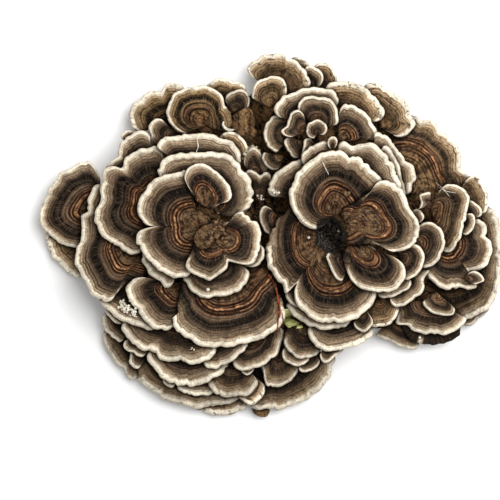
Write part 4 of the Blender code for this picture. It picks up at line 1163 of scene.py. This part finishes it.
def crust_mesh(sizes):
    """A ball whose upper half takes the crust's height and whose lower half is the flat cut."""
    ball = bmesh.new()
    bmesh.ops.create_uvsphere(ball, u_segments=sizes.crust_segments,
                              v_segments=sizes.crust_rings, radius=1.0)
    ball.verts.ensure_lookup_table()
    unit = np.array([vertex.co for vertex in ball.verts])
    tilt = np.arccos(np.clip(unit[:, 2], -1.0, 1.0))
    angle = np.round(np.arctan2(unit[:, 1], unit[:, 0]), ANGLE_DIGITS)
    outlines = {key: crust_outline(np.array([math.cos(key), math.sin(key)]))
                for key in np.unique(angle)}
    edge = np.array([outlines[key] for key in angle])
    upper = tilt <= 0.5 * math.pi + EQUATOR_SLACK
    share = np.where(upper, tilt, math.pi - tilt) / (0.5 * math.pi)
    away = (share * edge)[:, None] * np.column_stack([np.cos(angle), np.sin(angle)])
    plan = np.array(CRUST_CENTRE) + away
    drop = pit_drop(plan)
    height = np.maximum(CRUST_RIM, crust_height(plan)) - drop
    for index, vertex in enumerate(ball.verts):
        x, y, z = *plan[index], 0.0
        if upper[index]:
            lump = noise.fractal(Vector((x, y, height[index])) / sizes.crust_lump, *CRUST_FRACTAL)
            z = max(CRUST_LEAST_TOP, height[index] + sizes.crust_roughness * lump)
        vertex.co = Vector((x, y, z)) * MM
    mesh = bpy.data.meshes.new("rough_crust")
    ball.to_mesh(mesh)
    ball.free()
    # Painted shade where the caps cover the crust
    damp = stack().cover.blurred(CRUST_COVER_BLUR).read(plan)
    store(mesh, {"damp": damp, "pit": drop / PIT_DEPTH})
    mesh.shade_smooth()
    return mesh


def bridged(path):
    """The path of a stiff thread, which lies straight across the gaps under it."""
    along = lengths_along(path[:, :2])
    height = path[:, 2].copy()
    for start in range(len(path) - 2):
        for end in range(start + 2, len(path)):
            span = slice(start + 1, end)
            chord = np.interp(along[span], along[[start, end]], path[[start, end], 2])
            height[span] = np.maximum(height[span], chord)
    return np.column_stack([path[:, :2], height])


def add_tube(mesh, path, radius):
    """A tapering tube round a path, added to a growing mesh."""
    loops = []
    for index, point in enumerate(path):
        ahead = path[min(index + 1, len(path) - 1)] - path[max(index - 1, 0)]
        side = Vector(ahead).cross(Vector((0.0, 0.0, 1.0)))
        side = side.normalized() if side.length > 0.0 else Vector((1.0, 0.0, 0.0))
        up = side.cross(Vector(ahead)).normalized()
        share = index / (len(path) - 1)
        taper = math.sqrt(max(0.0, math.sin(math.pi * share)))
        size = radius * (TUBE_TIP + (1.0 - TUBE_TIP) * taper)
        loops.append([mesh.verts.new((Vector(point) + size * (math.cos(turn) * side
                                                              + math.sin(turn) * up)) * MM)
                      for turn in np.linspace(0.0, TURN, TUBE_SIDES, endpoint=False)])
    join_loops(mesh, loops)
    mesh.faces.new(loops[0][::-1])
    mesh.faces.new(loops[-1])


def join_loops(mesh, loops):
    """Faces between each loop of vertices and the next."""
    for near, far in zip(loops, loops[1:]):
        for i in range(len(near)):
            j = (i + 1) % len(near)
            mesh.faces.new((near[i], near[j], far[j], far[i]))


def add_blob(mesh, centre, radius, flatness, seed):
    """A small uneven lump, added to a growing mesh."""
    made = bmesh.ops.create_icosphere(mesh, subdivisions=BLOB_DETAIL, radius=1.0)
    for vertex in made["verts"]:
        way = vertex.co.normalized()
        lump = noise.noise(way * BLOB_DENSITY + Vector((seed * BLOB_SEED_STEP, 0.0, 0.0)))
        place = Vector((way.x, way.y, way.z * flatness)) * (1.0 + BLOB_LUMP * lump) * radius
        vertex.co = (Vector(centre) + place) * MM


def add_sheet(mesh, outline, clearance, arch):
    """A thin leaf scrap with this outline, leaning on the caps and arched along its middle."""
    outline = smooth_path(outline + [outline[0]], LEAF_STEPS)[:-1]
    middle = outline.mean(axis=0)
    height = on_surface(outline, clearance)[:, 2]
    lean = np.linalg.lstsq(np.column_stack([outline, np.ones(len(outline))]), height, rcond=None)[0]
    loops = []
    for side in (1.0, -1.0):
        for share in LEAF_LOOPS:
            plan = middle + (outline - middle) * share
            wave = LEAF_WAVE * wobble(plan[:, 0] + plan[:, 1], *LEAF_WAVE_SHAPE)
            rise = arch * (1.0 - share ** 2) + wave
            height = plan @ lean[:2] + lean[2] + rise + side * LEAF_THICKNESS * 0.5
            loops.append([mesh.verts.new(Vector((x, y, z)) * MM)
                          for (x, y), z in zip(plan, height)])
    order = loops[:len(LEAF_LOOPS)][::-1] + loops[len(LEAF_LOOPS):]
    join_loops(mesh, order)
    mesh.faces.new(order[0])
    mesh.faces.new(order[-1][::-1])


def finished_mesh(name, mesh):
    """The growing mesh as one of Blender's own, with its faces turned outwards."""
    bmesh.ops.recalc_face_normals(mesh, faces=mesh.faces)
    done = bpy.data.meshes.new(name)
    mesh.to_mesh(done)
    mesh.free()
    done.shade_smooth()
    return done


# ---------------------------------------------------------------- finishes


class Wiring:
    """Short way to add nodes to a node tree with their inputs set or joined."""

    def __init__(self, tree):
        self.tree = tree

    def add(self, kind, inputs=None, **settings):
        node = self.tree.nodes.new(kind)
        for key, value in settings.items():
            setattr(node, key, value)
        for key, value in (inputs or {}).items():
            self.feed(value, node.inputs[key])
        return node

    def feed(self, value, socket):
        """Join another node's output to a socket, or set the socket to a plain value."""
        if isinstance(value, bpy.types.NodeSocket):
            self.tree.links.new(value, socket)
        else:
            socket.default_value = value

    def group(self, name, inputs):
        """Place the shader group of this name, which is built when first asked for."""
        tree = bpy.data.node_groups.get(name) or GROUP_MAKERS[name]()
        return self.add("ShaderNodeGroup", inputs, node_tree=tree).outputs

    def maths(self, operation, first, second=0.0, third=0.0):
        node = self.add("ShaderNodeMath", {0: first, 1: second, 2: third}, operation=operation)
        return node.outputs[0]

    def times(self, first, second):
        return self.maths("MULTIPLY", first, second)

    def plus_times(self, first, second, third):
        return self.maths("MULTIPLY_ADD", first, second, third)

    def rise(self, value, low, high, start=0.0, end=1.0):
        """Soft rise from start to end while the value goes from low to high."""
        node = self.add("ShaderNodeMapRange", {"Value": value, "From Min": low, "From Max": high,
                                               "To Min": start, "To Max": end},
                        interpolation_type="SMOOTHSTEP")
        return node.outputs["Result"]

    def blend(self, share, first, second, way="MIX"):
        node = self.add("ShaderNodeMix", {0: share, 6: first, 7: second}, data_type="RGBA",
                        blend_type=way)
        return node.outputs[2]

    def shade(self, colour, brightness):
        """The colour made darker or brighter all over."""
        return self.blend(1.0, colour, self.vector(brightness, brightness, brightness), "MULTIPLY")

    def layered(self, colour, layers, fields, paints):
        """The colour with each layer's paint over it where the layer's field rises."""
        for field, soft_step, paint in layers:
            colour = self.blend(self.rise(fields[field], *soft_step), colour, paints[paint])
        return colour

    def masks(self, fields):
        """The masks of the growth zones, each a product of soft steps."""
        made = {}
        for name, factors in ZONE_MASKS.items():
            steps = [self.rise(fields[field], *soft_step) for field, *soft_step in factors]
            made[name] = functools.reduce(self.times, steps)
        return made

    def vector(self, x, y, z):
        return self.add("ShaderNodeCombineXYZ", {0: x, 1: y, 2: z}).outputs[0]

    def noise(self, place, scale, detail=2.0, roughness=0.5):
        node = self.add("ShaderNodeTexNoise", {"Vector": place, "Scale": scale, "Detail": detail,
                                               "Roughness": roughness})
        return node.outputs["Fac"]

    def place(self):
        """The place on the object."""
        return self.add("ShaderNodeTexCoord").outputs["Object"]

    def attribute(self, name):
        return self.add("ShaderNodeAttribute", attribute_name=name).outputs["Fac"]

    def finish(self, shader, colour, height, distance, strength):
        """Give a material's shader its colour and its fine relief."""
        bump = self.add("ShaderNodeBump", {"Height": height, "Distance": distance,
                                           "Strength": strength})
        self.feed(colour, shader.inputs["Base Color"])
        self.feed(bump.outputs["Normal"], shader.inputs["Normal"])


def new_group(name, inputs, outputs):
    """An empty shader group with its sockets; gives the wiring, its inputs and its exit."""
    tree = bpy.data.node_groups.new(name, "ShaderNodeTree")
    for label, kind, value in inputs:
        socket = tree.interface.new_socket(label, in_out="INPUT", socket_type=kind)
        if value is not None:
            socket.default_value = value
    for label, kind in outputs:
        tree.interface.new_socket(label, in_out="OUTPUT", socket_type=kind)
    wiring = Wiring(tree)
    return (wiring, wiring.add("NodeGroupInput").outputs, wiring.add("NodeGroupOutput").inputs)


FLOAT = "NodeSocketFloat"
COLOUR = "NodeSocketColor"
VECTOR = "NodeSocketVector"


def grain_group():
    """Fine velvet grain, broad blotches and the mottle between them."""
    wiring, entry, leave = new_group("velvet grain", [
        ("Place", VECTOR, None), ("Grain Scale", FLOAT, 1400.0), ("Blotch Scale", FLOAT, 90.0),
    ], [("Grain", FLOAT), ("Blotch", FLOAT), ("Mottle", FLOAT)])
    mottle_scale = wiring.times(entry["Blotch Scale"], MOTTLE_FINENESS)
    for name, scale, look in (("Grain", entry["Grain Scale"], GRAIN_LOOK),
                              ("Blotch", entry["Blotch Scale"], BLOTCH_LOOK),
                              ("Mottle", mottle_scale, MOTTLE_LOOK)):
        wiring.feed(wiring.noise(entry["Place"], scale, *look), leave[name])
    return wiring.tree


def zone_group():
    """Growth zones of a cap: bands from the margin to the seat, with lines and fibrils."""
    wiring, entry, leave = new_group("growth zones", [
        *((name, FLOAT, 0.0) for name in ("Band", "Rings", "Spoke", "Seed")),
        *((name, COLOUR, GREY) for name in ("Edge", "Margin", "Tan", "Brown", "Dark", "Fibril",
                                            "Rust", "Ochre", "Centre")),
        ("Rust Share", FLOAT, 1.0), ("Line Contrast", FLOAT, 0.6),
    ], [("Color", COLOUR), ("Height", FLOAT)])
    paints = {name: entry[name] for name in ("Margin", "Tan", "Brown", "Dark", "Fibril", "Rust")}
    paints["Olive"] = OLIVE
    offset = wiring.times(entry["Seed"], SEED_SPREAD)
    fields = {}
    for name, (first, stretch, second, squeeze, *look) in ZONE_NOISE.items():
        place = wiring.vector(wiring.times(entry[first], stretch),
                              wiring.times(entry[second], squeeze), offset)
        fields[name] = wiring.noise(place, *look)
    fields["wave"] = wiring.maths("SINE", wiring.plus_times(
        fields["drift"], WAVE_DRIFT, wiring.times(entry["Rings"], WAVE_TURNS)))
    band = wiring.plus_times(wiring.maths("SUBTRACT", fields["wander"], 0.5), BAND_WANDER,
                             entry["Band"])
    fields["band"] = band
    fields["off ring"] = wiring.maths("ABSOLUTE", wiring.maths("SUBTRACT", band, RING_MARK))
    masks = wiring.masks(fields)

    # Bands from the margin to the seat, from a darker edge line that is painted shade where the
    # margin curls down
    colour = wiring.layered(entry["Edge"], ZONE_LAYERS, fields, paints)
    brown = wiring.layered(entry["Dark"], BROWN_LAYERS, fields, paints)
    colour = wiring.blend(wiring.rise(band, *BROWN_START), colour, brown)
    old = wiring.layered(entry["Centre"], OLD_LAYERS, fields, paints)
    colour = wiring.blend(wiring.rise(band, *OLD_START), colour, old)

    # Rusty rings, and the brightest one among them
    ember = wiring.blend(EMBER_BASE, entry["Dark"], entry["Rust"])
    ember = wiring.layered(ember, EMBER_LAYERS, fields, paints)
    ember = wiring.blend(masks["crest"], ember, entry["Ochre"])
    colour = wiring.blend(wiring.times(masks["ring"], entry["Rust Share"]), colour, ember)
    colour = wiring.blend(wiring.times(masks["bright"], entry["Rust Share"]), colour,
                          entry["Ochre"])

    # Fine growth lines
    contrast = wiring.times(entry["Line Contrast"], masks["contrast"])
    for line, shade in (("dark line", LINE_SHADE), ("hair line", HAIR_SHADE)):
        darker = wiring.blend(1.0, colour, shade, "MULTIPLY")
        colour = wiring.blend(wiring.times(masks[line], contrast), colour, darker)
    lighter = wiring.blend(LIGHT_LINE, colour, entry["Tan"])
    colour = wiring.blend(wiring.times(masks["light line"], contrast), colour, lighter)

    # Silky fibrils across the dark band
    colour = wiring.blend(wiring.times(masks["strand"], STRAND_COVER), colour, entry["Fibril"])
    wiring.feed(wiring.shade(colour, masks["comb"]), leave["Color"])
    height = wiring.plus_times(masks["strand"], STRAND_HEIGHT, fields["lines"])
    wiring.feed(wiring.plus_times(fields["fine"], FINE_HEIGHT, height), leave["Height"])
    return wiring.tree


def shade_and_grime_group():
    """Painted shade where a cap is overhung by the caps above, and the dark rot in the pit, broken
    up by the grain.
    """
    wiring, entry, leave = new_group("shelter grime", [
        ("Color", COLOUR, GREY), ("Damp", FLOAT, 0.0), ("Pit", FLOAT, 0.0),
        ("Grain", FLOAT, 0.5), ("Blotch", FLOAT, 0.5), ("Mottle", FLOAT, 0.5),
        ("Grime", COLOUR, GREY), ("Strength", FLOAT, 0.95), ("Spots", FLOAT, 0.3),
    ], [("Color", COLOUR)])
    # Painted shade: darker where the caps above overhang this surface
    damp = wiring.times(wiring.rise(entry["Damp"], *OVERHANG_SHADE_STEP), entry["Strength"])
    colour = wiring.blend(damp, entry["Color"], OVERHANG_SHADE_TONE, "MULTIPLY")
    char = wiring.blend(wiring.rise(entry["Grain"], *CHAR_STEP), entry["Grime"], CHAR)
    colour = wiring.blend(wiring.rise(entry["Pit"], *PIT_STEP), colour, char)
    light = wiring.rise(entry["Grain"], *GRAIN_LIGHT)
    patch = wiring.rise(entry["Blotch"], *PATCH_LIGHT)
    colour = wiring.shade(colour, wiring.times(light, patch))
    spot = wiring.times(wiring.rise(entry["Mottle"], *SPOT_STEP), entry["Spots"])
    wiring.feed(wiring.blend(spot, colour, entry["Grime"]), leave["Color"])
    return wiring.tree


def pore_group():
    """Pale underside with fine round pores."""
    wiring, entry, leave = new_group("pore surface", [
        ("Place", VECTOR, None), ("Pore", COLOUR, GREY), ("Hole", COLOUR, GREY),
    ], [("Color", COLOUR), ("Height", FLOAT)])
    pores = wiring.add("ShaderNodeTexVoronoi", {"Vector": entry["Place"], "Scale": PORE_SCALE})
    hole = wiring.rise(pores.outputs["Distance"], *PORE_STEP)
    wiring.feed(wiring.blend(hole, entry["Pore"], entry["Hole"]), leave["Color"])
    wiring.feed(wiring.maths("SUBTRACT", 1.0, hole), leave["Height"])
    return wiring.tree


GROUP_MAKERS = {"velvet grain": grain_group, "growth zones": zone_group,
                "shelter grime": shade_and_grime_group, "pore surface": pore_group}


def new_material(name, roughness):
    """A dull material; gives its wiring and its shader too."""
    material = bpy.data.materials.new(name)
    material.use_nodes = True
    shader = material.node_tree.nodes["Principled BSDF"]
    shader.inputs["Roughness"].default_value = roughness
    shader.inputs["Specular IOR Level"].default_value = SPECULAR
    return material, Wiring(material.node_tree), shader


def opaque(colour):
    return (*colour, 1.0)


def litter_material(name):
    """Two colours of a scrap or thread, mixed in streaks."""
    if name in bpy.data.materials:
        return bpy.data.materials[name]
    paints = bpy.context.scene.fungus_litter
    low, high, scale = LITTER[name]
    material, wiring, shader = new_material(name, LITTER_ROUGHNESS)
    grain = wiring.group("velvet grain", {"Place": wiring.place(), "Blotch Scale": scale})
    colour = wiring.blend(wiring.rise(grain["Blotch"], *STREAK_STEP),
                          opaque(getattr(paints, low)), opaque(getattr(paints, high)))
    wiring.finish(shader, colour, grain["Grain"], *LITTER_RELIEF)
    return material


def mixed_paints(finish):
    """The colours of the growth zones as one kind of cap has them."""
    paints = bpy.context.scene.fungus_colours
    stain = Vector(paints.stain)
    mixed = {key: Vector(getattr(paints, key)).lerp(stain, finish.stain) * finish.light
             for key in ("tan", "brown", "fibril", "centre")}
    mixed["dark"] = Vector(paints.dark).lerp(mixed["fibril"], finish.pale)
    mixed["margin"] = Vector(paints.margin) * finish.rim
    # The edge line is painted shade where the margin curls down
    mixed["edge"] = Vector(paints.edge) * finish.rim
    mixed["rust"], mixed["ochre"] = paints.rust, paints.ochre
    return {key.title(): opaque(colour) for key, colour in mixed.items()}


def cap_material(kind):
    """The velvet finish of one kind of cap."""
    name = f"{kind}_velvet"
    if name in bpy.data.materials:
        return bpy.data.materials[name]
    paints = bpy.context.scene.fungus_colours
    finish = FINISHES[kind]
    material, wiring, shader = new_material(name, CAP_ROUGHNESS)
    place = wiring.place()
    grain = wiring.group("velvet grain", {"Place": place})
    sites = {key.title(): wiring.attribute(key) for key in ("band", "rings", "spoke", "seed")}
    rough = wiring.rise(sites["Band"], *RIM_GRIT)
    grit = wiring.plus_times(wiring.maths("SUBTRACT", grain["Grain"], 0.5), rough, 0.5)
    zones = wiring.group("growth zones", {
        **sites, **mixed_paints(finish), "Rust Share": finish.rust,
        "Line Contrast": finish.contrast})
    pores = wiring.group("pore surface", {
        "Place": place, "Pore": opaque(paints.pore), "Hole": opaque(paints.tan)})
    below = wiring.rise(wiring.attribute("under"), *UNDER_STEP)
    # The group paints shade under overhanging caps, as well as the rot of the pit and the dark
    # spots
    grime = wiring.group("shelter grime", {
        "Color": wiring.blend(below, zones["Color"], pores["Color"]),
        "Damp": wiring.attribute("damp"), "Pit": wiring.attribute("pit"),
        "Grain": grit, "Blotch": grain["Blotch"], "Mottle": grain["Mottle"],
        "Grime": opaque(paints.grime), "Spots": finish.spots})
    height = wiring.plus_times(grit, GRIT_HEIGHT, wiring.times(zones["Height"], rough))
    wiring.finish(shader, grime["Color"], height, *CAP_RELIEF)
    return material


def crust_material():
    """Fibrous dark tissue with the torn lines of old growth."""
    paints = bpy.context.scene.fungus_colours
    material, wiring, shader = new_material("crust_tissue", DULL_ROUGHNESS)
    place = wiring.place()
    grain = wiring.group("velvet grain", {"Place": place, "Grain Scale": CRUST_GRAIN})
    bend = [wiring.times(field, share) for field, share
            in zip((wiring.noise(place, *CRUST_WARP), grain["Blotch"]), CRUST_BEND)]
    lines = wiring.noise(wiring.vector(*bend, 0.0), 1.0)
    tissue = {key: opaque(getattr(paints, key)) for key in ("crust", "rust", "ochre")}
    colour = wiring.layered(opaque(paints.dark), CRUST_LAYERS, {"lines": lines}, tissue)
    # The group paints shade where the caps cover the crust, as well as the rot of the pit and the
    # dark spots
    grime = wiring.group("shelter grime", {
        "Color": colour, "Damp": wiring.attribute("damp"), "Pit": wiring.attribute("pit"),
        "Grain": grain["Grain"], "Blotch": grain["Blotch"], "Mottle": grain["Mottle"],
        "Grime": opaque(paints.grime), "Strength": CRUST_OVERHANG_SHADE, "Spots": CRUST_SPOTS})
    height = wiring.plus_times(lines, CRUST_LINE_HEIGHT, grain["Grain"])
    wiring.finish(shader, grime["Color"], height, *CRUST_RELIEF)
    return material


# ---------------------------------------------------------------- settings


def mm_property(label, text, default):
    return bpy.props.FloatProperty(name=label, description=f"{text}, in millimetres",
                                   default=default, min=0.0)


def count_property(label, text, default):
    return bpy.props.IntProperty(name=label, description=text, default=default, min=8)


def metre_property(label, text, default):
    return bpy.props.FloatProperty(name=label, description=text, default=default, min=0.0,
                                   unit="LENGTH", subtype="DISTANCE")


def power_property(label, text, default):
    return bpy.props.FloatProperty(name=label, description=text, default=default, min=0.0)


def paint_property(label, text, *screen):
    return bpy.props.FloatVectorProperty(name=label, description=text, default=linear(*screen),
                                         subtype="COLOR", size=3, min=0.0, max=1.0)


class FungusSizes(bpy.types.PropertyGroup):
    """Sizes of the caps and the crust, in millimetres."""

    thickness: mm_property("Thickness", "Thickness of a cap", 1.9)
    root_thickness: mm_property("Root thickness", "Extra thickness of a cap at its seat", 3.2)
    edge_round: mm_property("Edge round", "Radius of the rounded margin", 1.5)
    column_step: mm_property("Column step", "Mesh step along a margin", 0.82)
    row_step: mm_property("Row step", "Mesh step from margin to seat", 0.55)
    scallop: mm_property("Scallop", "Depth of the margin's scallops", 0.42)
    nick_spacing: mm_property("Nick spacing", "Distance between the margin's small nicks", 11.0)
    corner: mm_property("Corner", "Radius of a fan's outer corners", 5.0)
    ruffle: mm_property("Ruffle", "Height of the margin's waves", 0.9)
    terrace: mm_property("Terrace", "Height of the growth rings", 0.16)
    fold: mm_property("Fold", "Height of the radial folds", 0.16)
    roll: mm_property("Roll", "Height of the rolled margin", 0.75)
    curl: mm_property("Curl", "Drop of the very edge", 0.9)
    crust_lump: mm_property("Crust lumps", "Size of the crust's lumps", 5.0)
    crust_roughness: mm_property("Crust roughness", "Height of the crust's lumps", 1.1)
    crust_segments: count_property("Crust segments", "Mesh steps round the crust", 220)
    crust_rings: count_property("Crust rings", "Mesh steps over the crust", 130)


Sizes = namedtuple("Sizes", FungusSizes.__annotations__)


class FungusColours(bpy.types.PropertyGroup):
    """Colours of the growth zones."""

    margin: paint_property("Margin", "Cream growing edge", 228, 217, 196)
    # The edge colour is painted shade: a thin darker line where the rolled margin curves down out
    # of the light
    edge: paint_property("Edge", "Thin outermost line", 196, 180, 152)
    tan: paint_property("Tan", "Greyish tan behind the edge", 160, 140, 115)
    brown: paint_property("Brown", "Grey-brown behind the tan", 100, 82, 64)
    dark: paint_property("Dark", "Blackish velvet band", 14, 10, 8)
    fibril: paint_property("Fibril", "Pale radial hairs of the dark band", 98, 79, 62)
    rust: paint_property("Rust", "Rusty rings", 88, 52, 31)
    ochre: paint_property("Ochre", "Brightest line of the rusty rings", 168, 124, 86)
    centre: paint_property("Centre", "Old tissue next to the seat", 103, 79, 55)
    stain: paint_property("Stain", "Olive stain of old caps", 134, 106, 64)
    pore: paint_property("Pore", "Underside", 214, 200, 172)
    grime: paint_property("Grime", "Shelter dirt and rot", 17, 13, 10)
    crust: paint_property("Crust", "Tissue that joins the caps", 126, 97, 65)


class LitterColours(bpy.types.PropertyGroup):
    """Colours of what lies or grows on the caps."""

    needle_dark: paint_property("Needle dark", "Shaded side of the needles", 62, 24, 14)
    needle_light: paint_property("Needle light", "Lit side of the needles", 150, 74, 44)
    leaf_dark: paint_property("Leaf dark", "Veins of the leaf scraps", 172, 172, 96)
    leaf_light: paint_property("Leaf light", "Blade of the leaf scraps", 222, 222, 160)
    crumb_dark: paint_property("Crumb dark", "Hollows of the crumbs", 58, 40, 28)
    crumb_light: paint_property("Crumb light", "Tops of the crumbs", 118, 93, 67)
    nodule_dark: paint_property("Nodule dark", "Hollows of the pale nodules", 112, 90, 66)
    nodule_light: paint_property("Nodule light", "Tops of the pale nodules", 214, 198, 168)
    mould: paint_property("Mould", "Mould tuft and specks", 236, 232, 220)
    mould_shade: paint_property("Mould shade", "Hollows of the mould", 180, 170, 148)


class StageSettings(bpy.types.PropertyGroup):
    """Camera and light."""

    distance: metre_property("Distance", "Height of the camera over the cut face", 2.5)
    frame_width: metre_property("Frame width", "Width of the picture at the mean height", 0.25)
    mean_height: metre_property("Mean height", "Height of the plane that the frame fits", 0.03)
    key_power: power_property("Key power", "Power of the overhead light in watts", 27.0)
    sky: power_property("Sky", "Strength of the even light from all round", 0.6)


# ---------------------------------------------------------------- operators


def add_piece(name, mesh, material):
    """Puts a finished mesh in the scene as a piece that rides with the cluster."""
    piece = bpy.data.objects.new(name, mesh)
    piece.data.materials.append(material)
    bpy.context.scene.collection.objects.link(piece)
    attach(piece, "root")
    return piece


class GrowCaps:
    """Shared body of the operators that grow a group of caps."""

    def execute(self, context):
        for cap in stack().caps:
            if cap.name.startswith(self.beginnings):
                self.grow(cap)
        return {"FINISHED"}

    def grow(self, cap):
        seed = (cap.number * SEED_STEP) % 1.0
        name = f"{cap.name}_bracket"
        mesh = shell_mesh(name, *cap_surface(cap), seed)
        piece = add_piece(name, mesh, cap_material(cap.finish))
        if cap.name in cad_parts:
            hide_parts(cap.name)


class FUNGUS_OT_left_caps(GrowCaps, bpy.types.Operator):
    """Grow the left rosette and the tiers on its left side"""

    bl_idname = "fungus.left_caps"
    bl_label = "Left caps"
    beginnings = ("left_", "lower_left")


class FUNGUS_OT_right_caps(GrowCaps, bpy.types.Operator):
    """Grow the right rosette and the tiers on its right side"""

    bl_idname = "fungus.right_caps"
    bl_label = "Right caps"
    beginnings = ("right_", "far_right", "lower_right", "lower_middle")


class FUNGUS_OT_back_caps(GrowCaps, bpy.types.Operator):
    """Grow the old tiers at the back and the small caps between the rosettes"""

    bl_idname = "fungus.back_caps"
    bl_label = "Back caps"
    beginnings = ("top_", "upper_", "centre_", "valley_")


class FUNGUS_OT_front_caps(GrowCaps, bpy.types.Operator):
    """Grow the tiers at the front"""

    bl_idname = "fungus.front_caps"
    bl_label = "Front caps"
    beginnings = ("front_", "big_front")


class FUNGUS_OT_crust(bpy.types.Operator):
    """Grow the rough crust that joins the caps"""

    bl_idname = "fungus.crust"
    bl_label = "Crust"

    def execute(self, context):
        mesh = crust_mesh(context.scene.fungus_sizes)
        piece = add_piece("rough_crust", mesh, crust_material())
        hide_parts("fused_base")
        return {"FINISHED"}


class LayLitter:
    """Shared body of the operators that lay small things on the caps."""

    def execute(self, context):
        for name, row in self.things.items():
            mesh = bmesh.new()
            finish = self.shape(mesh, name, *row)
            add_piece(name, finished_mesh(name, mesh), litter_material(finish))
        return {"FINISHED"}


class FUNGUS_OT_threads(LayLitter, bpy.types.Operator):
    """Lay the fallen needles, the pale curl and the pale fibres on the caps"""

    bl_idname = "fungus.threads"
    bl_label = "Needles and fibres"
    things = THREADS

    def shape(self, mesh, name, plan, radius, clearance):
        add_tube(mesh, bridged(on_surface(smooth_path(plan, THREAD_STEPS), clearance)), radius)
        return "needle_skin" if "needle" in name else "pale_fibre"


class FUNGUS_OT_leaf_scraps(LayLitter, bpy.types.Operator):
    """Lay the two green leaf scraps between the front caps"""

    bl_idname = "fungus.leaf_scraps"
    bl_label = "Leaf scraps"
    things = LEAF_SCRAPS

    def shape(self, mesh, name, outline, clearance, arch):
        add_sheet(mesh, outline, clearance, arch)
        return "leaf_blade"


class FUNGUS_OT_mould(LayLitter, bpy.types.Operator):
    """Grow the white mould tuft and the white specks"""

    bl_idname = "fungus.mould"
    bl_label = "Mould"
    things = MOULD

    def shape(self, mesh, name, start, end, width, count, size):
        chance = np.random.default_rng(len(name))
        along = np.array(end) - np.array(start)
        across = np.array([-along[1], along[0]]) / max(0.1, np.linalg.norm(along))
        least_lift, most_lift = MOULD_LIFT
        if count >= MANY_LUMPS:
            most_lift += PILE_HEIGHT
        for index in range(count):
            share, off = chance.uniform(0.0, 1.0), chance.normal(0.0, MOULD_SPREAD)
            plan = np.array(start) + along * share + across * width * off
            centre = on_surface([plan], chance.uniform(least_lift, most_lift))[0]
            radius = size * chance.uniform(*MOULD_SIZES)
            add_blob(mesh, centre, radius, MOULD_FLATNESS, index)
        return "mould_fluff"


class FUNGUS_OT_crumbs(LayLitter, bpy.types.Operator):
    """Scatter the crumbs in the rosettes and the pale nodules of the valley"""

    bl_idname = "fungus.crumbs"
    bl_label = "Crumbs"
    things = CRUMBS

    def shape(self, mesh, name, *places):
        for index, (x, y, radius, lift) in enumerate(places):
            centre = on_surface([(x, y)], lift)[0]
            add_blob(mesh, centre, radius, CRUMB_FLATNESS, index + len(name))
        return "pale_nodules" if name in PALE_CRUMBS else "crumb_tissue"


class FUNGUS_OT_stage(bpy.types.Operator):
    """Lay the floor, hang the lights and set the camera over the cluster"""

    bl_idname = "fungus.stage"
    bl_label = "Stage"

    def execute(self, context):
        settings = context.scene.fungus_stage
        self.lay_floor()
        self.hang_lights(context, settings)
        self.set_camera(context, settings)
        return {"FINISHED"}

    def lay_floor(self):
        bpy.ops.mesh.primitive_plane_add(size=FLOOR_SIZE, location=(0.0, 0.0, -FLOOR_DROP))
        floor = bpy.context.object
        floor.name = "floor"
        material, wiring, shader = new_material("pale_floor", DULL_ROUGHNESS)
        tone = wiring.blend(wiring.noise(wiring.place(), FLOOR_GRAIN), *FLOOR_TONES)
        wiring.feed(tone, shader.inputs["Base Color"])
        floor.data.materials.append(material)

    def hang_lights(self, context, settings):
        world = bpy.data.worlds.new("studio")
        world.use_nodes = True
        background = world.node_tree.nodes["Background"]
        background.inputs["Color"].default_value = (1.0, 1.0, 1.0, 1.0)
        background.inputs["Strength"].default_value = settings.sky
        context.scene.world = world
        light = bpy.data.lights.new("overhead", "AREA")
        light.energy = settings.key_power
        light.size = LAMP_SIZE
        lamp = bpy.data.objects.new("overhead", light)
        lamp.location = LAMP_PLACE
        aim = Vector(LAMP_AIM) - lamp.location
        lamp.rotation_euler = aim.to_track_quat("-Z", "Y").to_euler()
        context.scene.collection.objects.link(lamp)

    def set_camera(self, context, settings):
        camera = bpy.data.cameras.new("camera")
        camera.sensor_width = SENSOR_MM
        away = settings.distance - settings.mean_height
        camera.lens = SENSOR_MM * away / settings.frame_width
        camera.clip_end = FAR_CLIP
        eye = bpy.data.objects.new("camera", camera)
        eye.location = (*FRAME_CENTRE, settings.distance)
        context.scene.collection.objects.link(eye)
        context.scene.camera = eye
        context.scene.view_settings.view_transform = "Standard"


class FUNGUS_PT_panel(bpy.types.Panel):
    """Lists the steps that make the cluster"""

    bl_idname = "FUNGUS_PT_panel"
    bl_label = "Turkey tail fungus"
    bl_space_type = "VIEW_3D"
    bl_region_type = "UI"
    bl_category = "Fungus"

    def draw(self, context):
        for step in STEPS:
            self.layout.operator(step.bl_idname)


STEPS = (FUNGUS_OT_left_caps, FUNGUS_OT_right_caps, FUNGUS_OT_back_caps, FUNGUS_OT_front_caps,
         FUNGUS_OT_crust, FUNGUS_OT_threads, FUNGUS_OT_leaf_scraps, FUNGUS_OT_mould,
         FUNGUS_OT_crumbs, FUNGUS_OT_stage)
SETTINGS = {"fungus_sizes": FungusSizes, "fungus_colours": FungusColours,
            "fungus_litter": LitterColours, "fungus_stage": StageSettings}


def register():
    for kind in (*SETTINGS.values(), *STEPS, FUNGUS_PT_panel):
        bpy.utils.register_class(kind)
    for name, kind in SETTINGS.items():
        setattr(bpy.types.Scene, name, bpy.props.PointerProperty(type=kind))


def unregister():
    for name in SETTINGS:
        delattr(bpy.types.Scene, name)
    for kind in reversed((*SETTINGS.values(), *STEPS, FUNGUS_PT_panel)):
        bpy.utils.unregister_class(kind)


def main():
    register()
    for step in STEPS:
        module, action = step.bl_idname.split(".")
        getattr(getattr(bpy.ops, module), action)()


if __name__ == "__main__":
    main()
